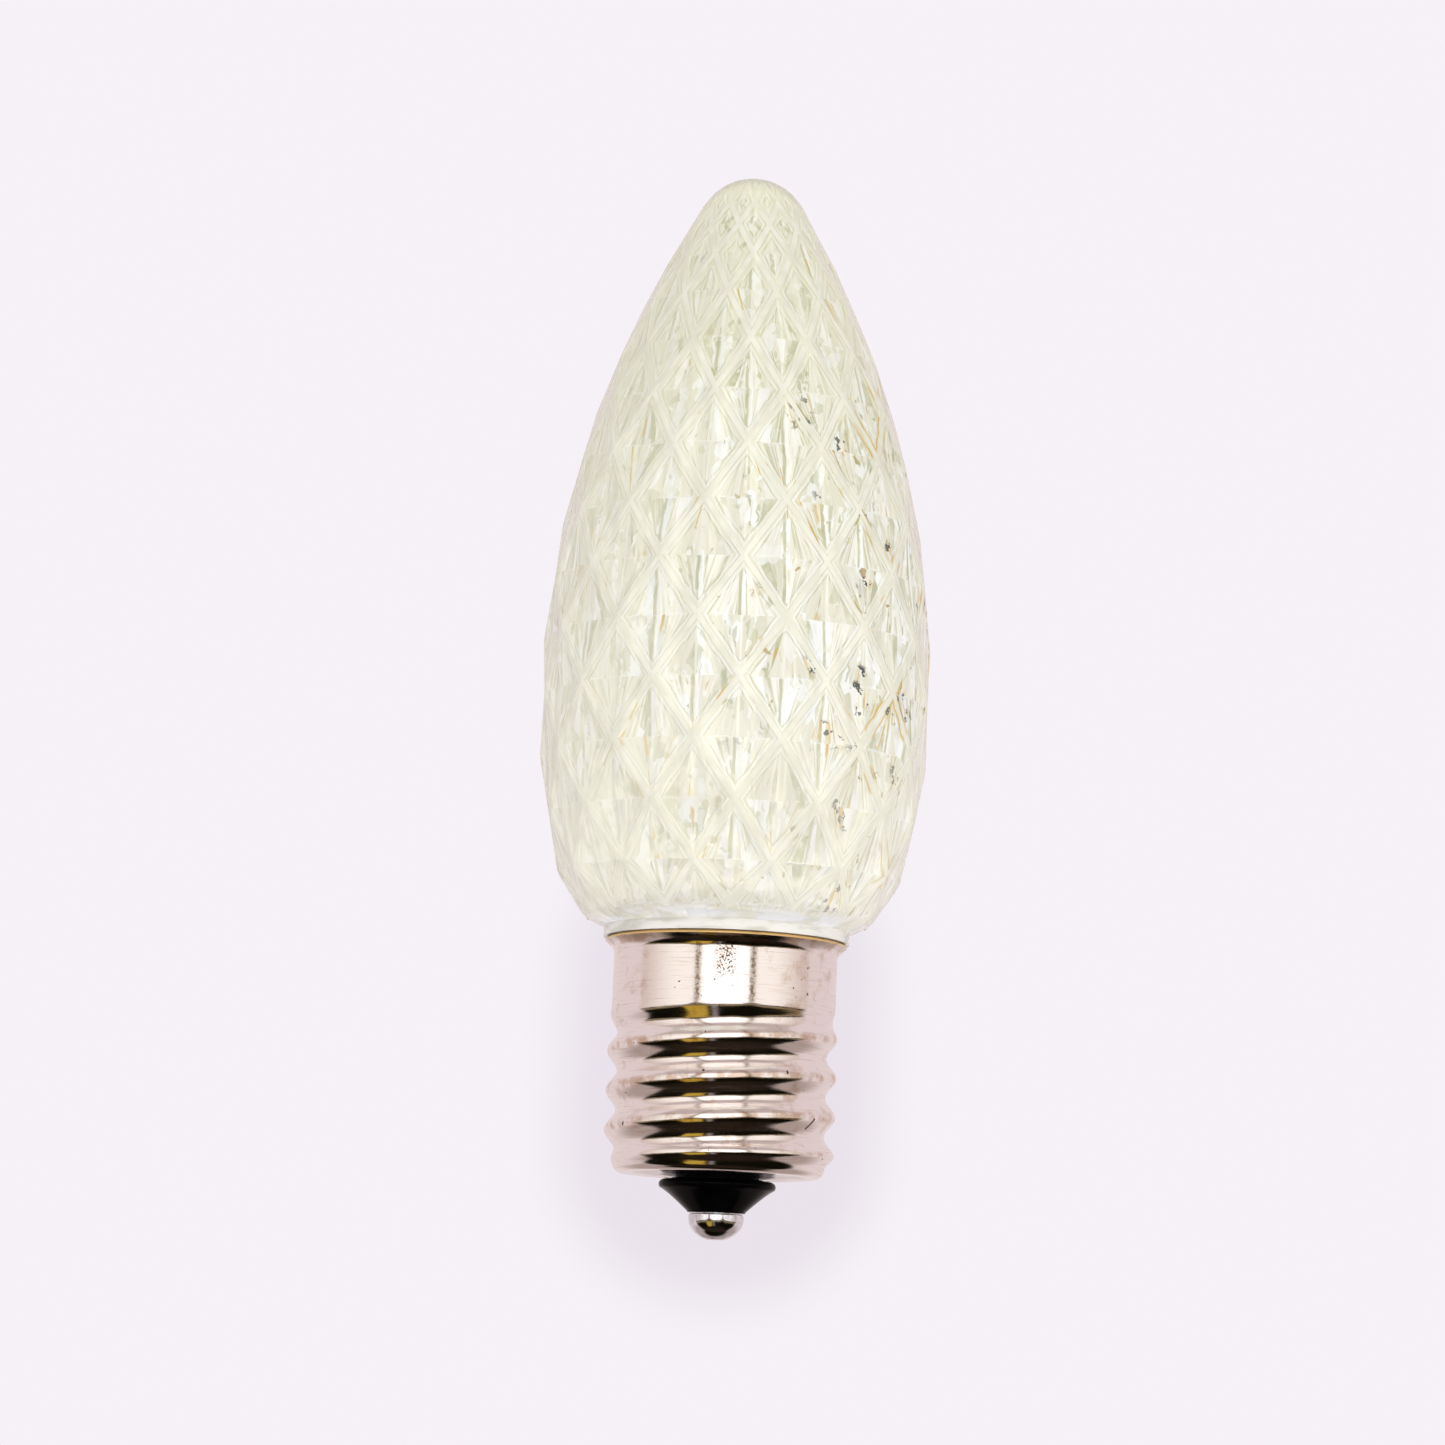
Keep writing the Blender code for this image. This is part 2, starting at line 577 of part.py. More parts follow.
def base_insulator(material, parts):
    """A moulded cone, with a neck through the shell's end wall and a head that holds it there."""
    bore = SHANK_RADIUS + SMALL_GAP
    edge_centre = (INSULATOR_RADIUS - INSULATOR_EDGE, INSULATOR_SEAT - INSULATOR_EDGE)
    outline = [
        (bore, HEAD_TOP), (INSULATOR_HEAD_RADIUS - SMALL_GAP, HEAD_TOP),
        (INSULATOR_HEAD_RADIUS, HEAD_TOP - SMALL_GAP), (INSULATOR_HEAD_RADIUS, HEAD_FOOT),
        (INSULATOR_NECK_RADIUS, HEAD_FOOT), (INSULATOR_NECK_RADIUS, INSULATOR_SEAT),
        *arc(edge_centre, (INSULATOR_EDGE, INSULATOR_EDGE), 90, -40, 4),
        (INSULATOR_TIP_RADIUS, INSULATOR_FOOT + SMALL_GAP),
        (INSULATOR_TIP_RADIUS - SMALL_GAP, INSULATOR_FOOT), (bore, INSULATOR_FOOT),
    ]
    return turned("base_insulator", outline, material, parts, sides=28, closed=True)


def centre_contact(material, parts):
    """A domed cap with a small flat under it, and a hollow shank for the resistor's lead."""
    bore_foot = SHANK_TOP - SHANK_BORE_DEPTH
    dome_height = CONTACT_HEIGHT - CONTACT_RIM
    flat_angle = math.acos(CONTACT_FLAT_RADIUS / CONTACT_RADIUS)
    depth = dome_height / math.sin(flat_angle)
    dome = arc((0, dome_height), (CONTACT_RADIUS, depth), 0, -math.degrees(flat_angle), 5)
    outline = [
        (0, bore_foot), (SHANK_BORE_RADIUS, bore_foot), (SHANK_BORE_RADIUS, SHANK_TOP),
        (SHANK_RADIUS, SHANK_TOP), (SHANK_RADIUS, CONTACT_HEIGHT),
        (CONTACT_RADIUS - SMALL_GAP, CONTACT_HEIGHT), *dome, (0, 0),
    ]
    return turned("centre_contact", outline, material, parts, sides=24)


def light_board(material, parts, cutters):
    """A round board under the lens's plug, with two slots for the driver board's tabs."""
    outline = [(0, BOARD_TOP), (PLUG_RADIUS, BOARD_TOP), (PLUG_RADIUS, BOARD_FOOT), (0, BOARD_FOOT)]
    board = turned("led_board", outline, material, parts, sides=32)
    slot = (TAB_WIDTH + 2 * SMALL_GAP, BOARD_THICKNESS + 2 * SMALL_GAP, 2 * BOARD_THICKNESS)
    for side, place in ((-1, "left"), (1, "right")):
        centre = (side * (TAB_OUTSIDE - TAB_WIDTH / 2), 0, BOARD_TOP - BOARD_THICKNESS / 2)
        boolean(board, box(f"slot_{place}", slot, centre, None, cutters), "DIFFERENCE")
    return board


def chip_places():
    """(x, y, turn) of each chip: one in the middle and the others across its diagonals."""
    circle = (CHIP_LENGTH + CHIP_WIDTH) / math.sqrt(8) + CHIP_SPACING + CHIP_WIDTH / 2
    places = [(0, 0, 0)]
    for index in range(CHIPS_AROUND):
        angle = math.tau * (index + 0.5) / CHIPS_AROUND
        places.append((circle * math.cos(angle), circle * math.sin(angle), angle + math.pi / 2))
    return places


def chip_leds(body, phosphor, parts, cutters):
    """Chip LEDs: a white moulded body whose round window is filled with yellow phosphor."""
    foot = BOARD_TOP + SMALL_GAP
    top = foot + CHIP_HEIGHT
    floor = top - WINDOW_DEPTH
    cut = [
        (0, top + MM), (WINDOW_RADIUS, top + MM), (WINDOW_RADIUS, top), (WINDOW_FLOOR_RADIUS, floor),
        (0, floor),
    ]
    gap = PHOSPHOR_GAP
    fill = [
        (0, top - gap), (WINDOW_RADIUS - 3 * gap, top - 2 * gap), (WINDOW_FLOOR_RADIUS - gap, floor + gap),
        (0, floor + gap),
    ]
    for number, (x, y, angle) in enumerate(chip_places(), start=1):
        centre = (x, y, foot + CHIP_HEIGHT / 2)
        size = (CHIP_LENGTH, CHIP_WIDTH, CHIP_HEIGHT)
        chip = box(f"led_chip_{number}", size, centre, body, parts, edge=CHIP_EDGE)
        chip.rotation_euler.z = angle
        window = turned(f"window_{number}", cut, None, cutters, sides=14)
        window.location = (x, y, 0)
        boolean(chip, window, "DIFFERENCE")
        dot = turned(f"led_phosphor_{number}", fill, phosphor, parts, sides=14)
        dot.location = (x, y, 0)


def driver_board(material, parts):
    """An upright board, cut from sheet with two tabs that pass through the light board."""
    tab_top = BOARD_TOP + TAB_STAND
    inside = TAB_OUTSIDE - TAB_WIDTH
    right = [
        (DRIVER_HALF_WIDTH, DRIVER_FOOT), (DRIVER_HALF_WIDTH, DRIVER_TOP), (TAB_OUTSIDE, DRIVER_TOP),
        (TAB_OUTSIDE, tab_top), (inside, tab_top), (inside, DRIVER_TOP),
    ]
    left = [(-x, z) for x, z in reversed(right)]
    board = sheet("driver_board", right + left, BOARD_THICKNESS, material, parts)
    board.rotation_euler.x = math.pi / 2
    return board


def bridge_rectifier(material, parts, cutters):
    """A black moulded block on the front of the driver board, with two bent legs on each side."""
    middle = DRIVER_FACE + BRIDGE_DEPTH / 2
    size = (BRIDGE_WIDTH, BRIDGE_DEPTH, BRIDGE_LENGTH)
    bridge = box("bridge_rectifier", size, (0, -middle, BRIDGE_MIDDLE), material, parts, edge=BRIDGE_EDGE)
    root, knee = BRIDGE_WIDTH / 4, BRIDGE_WIDTH / 2 + LEG_REACH
    face, t = DRIVER_FACE, LEG_THICKNESS
    leg = [
        (root, -middle), (knee - t, -middle), (knee - t, -face), (knee + LEG_FOOT, -face),
        (knee + LEG_FOOT, -face - t), (knee, -face - t), (knee, -middle - t), (root, -middle - t),
    ]
    for side, hand in ((-1, "left"), (1, "right")):
        for row, level in ((-1, "low"), (1, "high")):
            outline = [(side * x, y) for x, y in leg]
            piece = applied(sheet(f"leg_{hand}_{level}", outline, LEG_WIDTH, None, cutters))
            piece.location.z = BRIDGE_MIDDLE + row * LEG_SPACING / 2
            boolean(bridge, piece, "UNION")
    return bridge


def capacitor(sleeve, tin, parts):
    """A small can behind the driver board, with two leads that bend onto the board's back."""
    top = DRIVER_TOP - SMALL_GAP
    foot = top - CAPACITOR_HEIGHT
    edge = CAPACITOR_EDGE
    behind = DRIVER_FACE + CAPACITOR_RADIUS
    outline = [
        (0, top), (CAPACITOR_RADIUS - edge, top), (CAPACITOR_RADIUS, top - edge),
        (CAPACITOR_RADIUS, foot + edge), (CAPACITOR_RADIUS - edge, foot), (0, foot),
    ]
    can = turned("capacitor", outline, sleeve, parts, sides=18)
    can.location = (0, behind, 0)
    face = DRIVER_FACE + LEAD_RADIUS
    drop = (foot - DRIVER_FOOT) / 2
    for number, side in ((1, -1), (2, 1)):
        x = side * CAPACITOR_LEAD_SPACING / 2
        route = [
            (x, behind, foot - SMALL_GAP), (x, (behind + face) / 2, foot - drop),
            (x, face, foot - 2 * drop),
        ]
        wire(f"capacitor_lead_{number}", route, LEAD_RADIUS, tin, parts)


def chip_resistors(material, parts):
    """Two flat resistors on the board's back, one on each side of the capacitor."""
    size = (CHIP_RESISTOR_WIDTH, CHIP_RESISTOR_DEPTH, CHIP_RESISTOR_LENGTH)
    x = CAPACITOR_RADIUS + CHIP_RESISTOR_TO_CAPACITOR + CHIP_RESISTOR_WIDTH / 2
    for number, side in ((1, -1), (2, 1)):
        centre = (side * x, DRIVER_FACE + CHIP_RESISTOR_DEPTH / 2, BRIDGE_MIDDLE)
        box(f"chip_resistor_{number}", size, centre, material, parts, edge=SMALL_GAP)


def fuse_resistor(body, tin, parts):
    """A fusible resistor in line with the contact: one lead to the board, one into the shank."""
    end = RESISTOR_RADIUS * 0.6
    swell = RESISTOR_LENGTH / 4
    outline = [
        (0, RESISTOR_TOP), (end, RESISTOR_TOP), (RESISTOR_RADIUS, RESISTOR_TOP - swell / 2),
        (RESISTOR_WAIST, RESISTOR_TOP - swell), (RESISTOR_WAIST, RESISTOR_FOOT + swell),
        (RESISTOR_RADIUS, RESISTOR_FOOT + swell / 2), (end, RESISTOR_FOOT), (0, RESISTOR_FOOT),
    ]
    turned("fuse_resistor", outline, body, parts, sides=14)
    face = -DRIVER_FACE - LEAD_RADIUS
    beside = BRIDGE_WIDTH / 2 + LEG_REACH + LEG_FOOT + LEAD_TO_BRIDGE + LEAD_RADIUS
    upper = [
        (0, 0, RESISTOR_TOP + SMALL_GAP), (beside / 3, face / 2, RESISTOR_TOP + RESISTOR_TO_DRIVER * 0.6),
        (beside * 0.8, face, DRIVER_FOOT), (beside, face, DRIVER_FOOT + LEAD_LAP),
    ]
    wire("resistor_lead_upper", upper, LEAD_RADIUS, tin, parts)
    lower_end = SHANK_TOP - SHANK_BORE_DEPTH + SMALL_GAP
    lower = [
        (0, 0, RESISTOR_FOOT - SMALL_GAP), (0, 0, (RESISTOR_FOOT + lower_end) / 2), (0, 0, lower_end),
    ]
    wire("resistor_lead_lower", lower, LEAD_RADIUS, tin, parts)


def shell_wire(insulation, tin, parts):
    """The wire from the driver board to a bead of solder on the shell's end wall."""
    seat = end_wall_height(SOLDER_DISTANCE + SOLDER_RADIUS) + SMALL_GAP
    bead = arc((0, seat), (SOLDER_RADIUS, SOLDER_HEIGHT), 90, 0, 4)
    solder = turned("shell_solder", [*bead, (0, seat)], tin, parts, sides=12)
    solder.location = (-SOLDER_DISTANCE, 0, 0)
    face = -DRIVER_FACE - WIRE_RADIUS
    edge = -(DRIVER_HALF_WIDTH - 2 * WIRE_RADIUS)
    lowest = seat + SOLDER_HEIGHT + SMALL_GAP
    drop = DRIVER_FOOT - lowest
    route = [
        (edge, face, DRIVER_FOOT + LEAD_LAP), (edge, face, DRIVER_FOOT),
        ((edge - SOLDER_DISTANCE) / 2, face / 2, DRIVER_FOOT - drop / 2),
        (-SOLDER_DISTANCE, 0, lowest + drop / 4), (-SOLDER_DISTANCE, 0, lowest),
    ]
    wire("shell_lead", route, WIRE_RADIUS, insulation, parts)


def main():
    clear_scene()
    parts = collection("christmas_light_bulb")
    cutters = collection("cutters")

    clear = finish("lens_plastic", (0.95, 0.94, 0.82), roughness=0.02, transmission=1.0, ior=1.49)
    lens = lens_body(clear, parts)
    boolean(lens, lens_cavity(cutters), "DIFFERENCE")
    screw_shell(finish("shell_nickel", (0.78, 0.72, 0.70), roughness=0.18, metallic=1.0), parts)
    base_insulator(finish("insulator_plastic", (0.012, 0.012, 0.015), roughness=0.15), parts)
    centre_contact(finish("contact_tin", (0.75, 0.75, 0.77), roughness=0.25, metallic=1.0), parts)
    light_board(finish("led_board_white", (0.86, 0.86, 0.82), roughness=0.45), parts, cutters)
    chip_body = finish("chip_white", (0.90, 0.89, 0.85), roughness=0.5)
    chip_leds(chip_body, finish("phosphor_yellow", (0.95, 0.62, 0.08), roughness=0.35), parts, cutters)
    driver_board(finish("driver_board_white", (0.82, 0.82, 0.78), roughness=0.45), parts)
    bridge_rectifier(finish("rectifier_black", (0.02, 0.02, 0.022), roughness=0.45), parts, cutters)
    sleeve = finish("capacitor_sleeve", (0.03, 0.03, 0.035), roughness=0.4)
    capacitor(sleeve, finish("capacitor_lead_tin", (0.72, 0.72, 0.74), roughness=0.3, metallic=1.0), parts)
    chip_resistors(finish("chip_resistor_black", (0.03, 0.03, 0.03), roughness=0.5), parts)
    lead = finish("resistor_lead_tin", (0.72, 0.72, 0.74), roughness=0.3, metallic=1.0)
    fuse_resistor(finish("resistor_blue", (0.22, 0.42, 0.52), roughness=0.45), lead, parts)
    solder = finish("solder_tin", (0.62, 0.62, 0.64), roughness=0.35, metallic=1.0)
    shell_wire(finish("wire_white", (0.80, 0.79, 0.76), roughness=0.5), solder, parts)

main()
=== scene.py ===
# %% [markdown]
# # A faceted light bulb in a white studio
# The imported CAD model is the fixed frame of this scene. The script dresses it: it lays finer
# pieces over the outer solids, gives every piece a procedural finish, and sets up the studio and
# the camera. Each step is a cell, and the cells print what they made or measured.

# %% Load the frame
import json
import math

import bmesh
import bpy
from mathutils import Matrix, Vector


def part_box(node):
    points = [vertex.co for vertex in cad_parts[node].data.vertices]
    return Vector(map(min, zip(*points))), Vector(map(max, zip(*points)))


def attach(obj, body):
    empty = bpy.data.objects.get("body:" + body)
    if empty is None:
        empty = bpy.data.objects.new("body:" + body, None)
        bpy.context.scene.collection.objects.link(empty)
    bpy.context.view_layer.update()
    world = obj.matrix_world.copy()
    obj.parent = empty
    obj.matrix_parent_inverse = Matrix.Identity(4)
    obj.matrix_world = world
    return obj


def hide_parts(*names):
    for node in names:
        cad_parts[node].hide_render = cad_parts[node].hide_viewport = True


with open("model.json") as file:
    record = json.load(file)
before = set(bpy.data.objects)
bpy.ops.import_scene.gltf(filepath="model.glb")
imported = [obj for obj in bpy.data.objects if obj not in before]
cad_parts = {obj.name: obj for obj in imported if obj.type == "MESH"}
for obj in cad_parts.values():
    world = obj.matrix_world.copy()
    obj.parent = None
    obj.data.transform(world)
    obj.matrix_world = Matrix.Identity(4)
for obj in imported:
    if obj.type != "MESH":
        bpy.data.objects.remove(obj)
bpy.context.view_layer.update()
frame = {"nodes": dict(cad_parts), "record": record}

MM = 0.001

scene = bpy.context.scene
scene.view_settings.view_transform = "Standard"

# %% [markdown]
# ## The camera
# The photograph looks down on a bulb that lies on a table. In the model's frame the bulb stands
# on its contact, so the same view is a camera in front of it, a little below its middle, with the
# tip leaning away. A distance of 350 mm gives the photograph's perspective, and the focal length
# follows from that distance and from the pixels that a millimetre takes in the picture.

# %% Measures from the photograph
deg = math.radians
PICTURE_SIDE = 1445
PIXELS_PER_MM = 13.8
AXIS_COLUMN = 734.5
AIM_HEIGHT = 37.34 * MM
DISTANCE = 350 * MM
LOOK_UP = deg(8.43)
ROLL = deg(2.17)
SENSOR_WIDTH = 36
FOCAL_LENGTH = SENSOR_WIDTH * PIXELS_PER_MM * (DISTANCE / MM) / PICTURE_SIDE
print("focal length, mm:", round(FOCAL_LENGTH, 1))

# %% Camera
# the bulb's X and Z axes in the camera's own directions: right, up and towards the eye
bulb_x = Vector((math.cos(ROLL), -math.sin(ROLL), 0))
bulb_z = Vector(
    (math.sin(ROLL) * math.cos(LOOK_UP), math.cos(ROLL) * math.cos(LOOK_UP), -math.sin(LOOK_UP))
)
turn = Matrix((bulb_x, bulb_z.cross(bulb_x), bulb_z))
aside = (PICTURE_SIDE / 2 - AXIS_COLUMN) / PIXELS_PER_MM * MM
place = Vector((0, 0, AIM_HEIGHT)) + turn @ Vector((aside, 0, DISTANCE))

camera_data = bpy.data.cameras.new("camera")
camera_data.sensor_width = SENSOR_WIDTH
camera_data.lens = FOCAL_LENGTH
camera_data.clip_start = 10 * MM
camera = bpy.data.objects.new("camera", camera_data)
camera.matrix_world = Matrix.Translation(place) @ turn.to_4x4()
scene.collection.objects.link(camera)
scene.camera = camera
print("camera at, mm:", [round(value / MM) for value in camera.location])

# %% [markdown]
# ## Short words for node trees
# Every finish here is a tree of shader nodes. In Blender's editor a tree is drawn by hand. In a
# script it is easier to read as a formula, so this class adds a node for each sum, product or
# pattern and gives back its output. A step and a hill do most of the work: they turn a measure,
# such as a height or a noise, into a share between 0 and 1 that says where a colour goes.

# %% Nodes
class Nodes:
    """Short ways to add nodes to a tree and join them."""

    def __init__(self, owner):
        owner.use_nodes = True
        self.tree = owner.node_tree
        self.tree.nodes.clear()

    def add(self, kind, inputs=None, **settings):
        node = self.tree.nodes.new("ShaderNode" + kind)
        for name, value in settings.items():
            setattr(node, name, value)
        for name, value in (inputs or {}).items():
            self.put(node.inputs[name], value)
        return node

    def put(self, socket, value):
        if isinstance(value, bpy.types.NodeSocket):
            self.tree.links.new(value, socket)
        else:
            socket.default_value = value

    def math(self, operation, a, b=0.0):
        return self.add("Math", {0: a, 1: b}, operation=operation).outputs[0]

    def plus(self, a, b):
        return self.math("ADD", a, b)

    def minus(self, a, b):
        return self.math("SUBTRACT", a, b)

    def absolute(self, value):
        return self.math("ABSOLUTE", value)

    def hypotenuse(self, a, b):
        return self.math("SQRT", self.plus(self.times(a, a), self.times(b, b)))

    def times(self, *values):
        product = values[0]
        for value in values[1:]:
            product = self.math("MULTIPLY", product, value)
        return product

    def step(self, value, low, high, start=0.0, end=1.0):
        """From start at low to end at high, smooth between them and level outside."""
        inputs = {"Value": value, "From Min": low, "From Max": high, "To Min": start, "To Max": end}
        return self.add("MapRange", inputs, interpolation_type="SMOOTHSTEP").outputs[0]

    def hill(self, value, centre, half_width, soft):
        """1 within half_width of the centre, and 0 beyond a soft edge."""
        return self.step(self.absolute(self.minus(value, centre)), half_width + soft, half_width)

    def mix(self, share, a, b):
        node = self.add("Mix", data_type="RGBA")
        self.put(node.inputs[0], share)
        self.put(node.inputs[6], a)
        self.put(node.inputs[7], b)
        return node.outputs[2]

    def place(self):
        """Where a point lies on the piece, in metres."""
        return self.add("TexCoord").outputs["Object"]

    def apart(self, vector):
        return self.add("SeparateXYZ", {0: vector}).outputs

    def point(self, x, y, z):
        return self.add("CombineXYZ", {0: x, 1: y, 2: z}).outputs[0]

    def stretched(self, vector, scale):
        return self.add("Mapping", {"Vector": vector, "Scale": scale}).outputs[0]

    def noise(self, vector, scale, detail=2.0, roughness=0.5):
        inputs = {"Vector": vector, "Scale": scale, "Detail": detail, "Roughness": roughness}
        return self.add("TexNoise", inputs).outputs[0]

    def cells(self, vector, scale=1.0):
        """A colour at random for each cell of a broken pattern."""
        return self.add("TexVoronoi", {"Vector": vector, "Scale": scale}).outputs["Color"]

    def channels(self, colour):
        return self.add("SeparateColor", {0: colour}).outputs

    def tell(self, step):
        print(step + ":", len(self.tree.nodes), "nodes so far")


# %% [markdown]
# ## Colours in coats
# A painter lays a ground and then thinner coats over it. The finishes below are written in the
# same way: a ground colour, then one tint after another, each with the shares that say where it
# covers what is below. The shares are multiplied, so a tint shows only where all of them do.

# %% Coats
class Coats:
    """A colour that is built up in coats, each laid over the last."""

    def __init__(self, nodes, ground):
        self.nodes = nodes
        self.colour = ground

    def lay(self, tint, *shares):
        self.colour = self.nodes.mix(self.nodes.times(*shares), self.colour, tint)


# %% [markdown]
# ## What the metal mirrors
# Polished nickel has hardly any colour of its own: it shows the room. The photograph's metal
# shows three bright windows side by side, a dark table edge with a gold thing on it low down in
# front, and pale paper behind. An image of a room could give this, but a few painted bands are
# easier to place, so the world paints just these and shows them to mirror rays alone.

# %% Directions in the room
SURROUND = (0.922, 0.879, 0.930, 1)
world = bpy.data.worlds.new("studio")
scene.world = world
n = Nodes(world)
direction = n.add("TexCoord").outputs["Generated"]
x, y, z = n.apart(direction)
azimuth = n.math("ARCTAN2", x, n.times(y, -1))
off_centre = n.absolute(azimuth)
elevation = n.math("ARCSINE", z)
n.tell("directions")

# %% Windows
WINDOW = (1.36, 1.33, 1.29, 1)
SIDE_WINDOW = (1.06, 1.00, 0.94, 1)
WINDOW_END = (0.68, 0.57, 0.52, 1)
ROOM = (0.56, 0.47, 0.45, 1)
GAP = (0.26, 0.19, 0.12, 1)
POST = deg(28)
POST_SOFTNESS = deg(2)
POST_WIDTH = (deg(1.2), deg(3))
SIDE_FADE = (deg(45), deg(97))
WINDOW_MIDDLE = deg(8)
WINDOW_HEIGHT = (deg(28), deg(16))

side = n.mix(n.step(off_centre, *SIDE_FADE), SIDE_WINDOW, WINDOW_END)
windows = n.mix(n.step(off_centre, POST - POST_SOFTNESS, POST + POST_SOFTNESS), WINDOW, side)
room = Coats(n, n.mix(n.hill(elevation, WINDOW_MIDDLE, *WINDOW_HEIGHT), ROOM, windows))
room.lay(GAP, n.hill(off_centre, POST, *POST_WIDTH), 0.85)
print("posts between the windows at, degrees:", round(math.degrees(POST)))

# %% The table's edge
BROWN = (0.34, 0.26, 0.15, 1)
DARK = (0.005, 0.004, 0.002, 1)
TABLE = (0.022, 0.014, 0.009, 1)
GOLD = (0.50, 0.33, 0.05, 1)
SCALLOP = deg(9)
SCALLOP_WIDTH = (deg(1), deg(15))
EDGE_BANDS = ((DARK, -12.5, -14.5), (BROWN, -16.5, -18.5), (DARK, -20, -27))
TABLE_FADE = (deg(-42), deg(-72))

# the edge is scalloped: it rises to a point below each post
sill = n.minus(elevation, n.times(n.hill(off_centre, POST, *SCALLOP_WIDTH), SCALLOP))
for tint, top, foot in EDGE_BANDS:
    room.lay(tint, n.step(sill, deg(top), deg(foot)))
room.lay(TABLE, n.step(elevation, *TABLE_FADE))
print("bands of the table's edge:", len(EDGE_BANDS))

# %% Gold thing and glint
GOLD_PLACE = ((-30, 11, 3), (-36, 12, 6))
GLINT_PLACE = ((-9, 1, 4), (-34, 14, 8))


def patch_at(sideways, upright):
    """A soft patch: its middle, half width and soft edge, sideways and upright, in degrees."""
    return n.times(n.hill(azimuth, *map(deg, sideways)), n.hill(elevation, *map(deg, upright)))


room.lay(GOLD, patch_at(*GOLD_PLACE))
room.lay(ROOM, patch_at(*GLINT_PLACE), 0.5)
n.tell("room")

# %% Paper behind
PAPER = (0.78, 0.68, 0.68, 1)
PAPER_FOOT = (0.42, 0.34, 0.31, 1)
PAPER_FADE = (deg(-18), deg(-40))
PAPER_END = (deg(-54), deg(-64))
BEHIND = (deg(92), deg(99))

paper = Coats(n, n.mix(n.step(elevation, *PAPER_FADE), PAPER, PAPER_FOOT))
paper.lay(DARK, n.step(elevation, *PAPER_END))
mirrored = n.mix(n.step(off_centre, *BEHIND), room.colour, paper.colour)
n.tell("room and paper")

# %% [markdown]
# ## What the plastic and the camera see
# Clear plastic shows what is behind it, bent many times, so it gets a bright and faintly patchy
# white. The camera sees a plain pale backdrop, with a soft shade where the base stands close to
# the paper. Light Path tells the rays apart, and rays that only light the object get a pale grey.

# %% The plastic's white
CREAM = (0.90, 0.89, 0.74, 1)
WHITE = (1.08, 1.06, 0.99, 1)
through = n.mix(n.step(n.noise(direction, 6.0), 0.35, 0.60), CREAM, WHITE)
n.tell("the plastic's white")

# %% The base's shade on the paper
SHADE = (0.36, 0.24, 0.36, 1)
SHADE_SHARE = 0.18
SHADE_BEHIND = 10 * MM
SHADE_HEIGHT = 13.5 * MM
SHADE_HALF_LENGTH = 6 * MM
SHADE_CORE = 8.5 * MM
SHADE_REACH = 15 * MM

# where a ray that leaves the eye of the camera above meets a wall behind the base
eye = camera.location
reach = SHADE_BEHIND - eye.y
depth = n.math("MAXIMUM", y, 0.2)
across = n.plus(n.times(n.math("DIVIDE", x, depth), reach), eye.x)
upward = n.plus(n.times(n.math("DIVIDE", z, depth), reach), eye.z)
beyond = n.minus(n.absolute(n.minus(upward, SHADE_HEIGHT)), SHADE_HALF_LENGTH)
length = n.hypotenuse(across, n.math("MAXIMUM", beyond, 0.0))
shade = n.times(n.step(length, SHADE_REACH, SHADE_CORE), n.step(y, 0.90, 0.96), SHADE_SHARE)
backdrop = n.mix(shade, SURROUND, SHADE)
print("shade's wall from the eye, mm:", round(reach / MM))

# %% The world's rays
PALE_GREY = (0.74, 0.74, 0.74, 1)
path = n.add("LightPath").outputs
seen = n.mix(path["Is Glossy Ray"], PALE_GREY, mirrored)
seen = n.mix(path["Is Transmission Ray"], seen, through)
seen = n.mix(path["Is Camera Ray"], seen, backdrop)
background = n.add("Background", {"Color": seen, "Strength": 1.0})
n.add("OutputWorld", {"Surface": background.outputs[0]})
print("world nodes:", len(world.node_tree.nodes))

# %% [markdown]
# ## The floor
# The bulb floats upright in front of a pale backdrop, as the photograph's white table would look
# from above. A wide floor far below it gives light back from underneath. It is a plain grid, and
# it glows towards the camera in the backdrop's own colour, so that no horizon shows.

# %% Floor
FLOOR_HALF_SIDE = 4
FLOOR_DROP = 0.4
floor_mesh = bpy.data.meshes.new("floor")
bm = bmesh.new()
bmesh.ops.create_grid(bm, x_segments=1, y_segments=1, size=FLOOR_HALF_SIDE)
bmesh.ops.translate(bm, verts=bm.verts, vec=(0, 0, -FLOOR_DROP))
bm.to_mesh(floor_mesh)
bm.free()
floor = bpy.data.objects.new("floor", floor_mesh)
scene.collection.objects.link(floor)
floor.visible_glossy = False
floor.visible_transmission = False
print("floor below the contact, mm:", round(FLOOR_DROP / MM))

# %% Floor paint
floor_paint = bpy.data.materials.new("floor_paint")
n = Nodes(floor_paint)
matt = n.add("BsdfDiffuse", {"Color": SURROUND})
glow = n.add("Emission", {"Color": SURROUND, "Strength": 1.0})
share = n.times(n.add("LightPath").outputs["Is Camera Ray"], 0.9)
paint = n.add("MixShader", {0: share, 1: matt.outputs[0], 2: glow.outputs[0]})
n.add("OutputMaterial", {"Surface": paint.outputs[0]})
floor_mesh.materials.append(floor_paint)
n.tell("floor paint")

# %% [markdown]
# ## Lamps
# Four soft lamps light the bulb evenly: the key from the upper left, a fill from the right, one
# from low in front for the thread's undersides, and one from behind for the lens's edge. They
# stay out of mirror and glass rays, so the nickel shows the painted windows and no lamp.

# %% Lamps
LAMP_AIM = Vector((0, 0, 30 * MM))


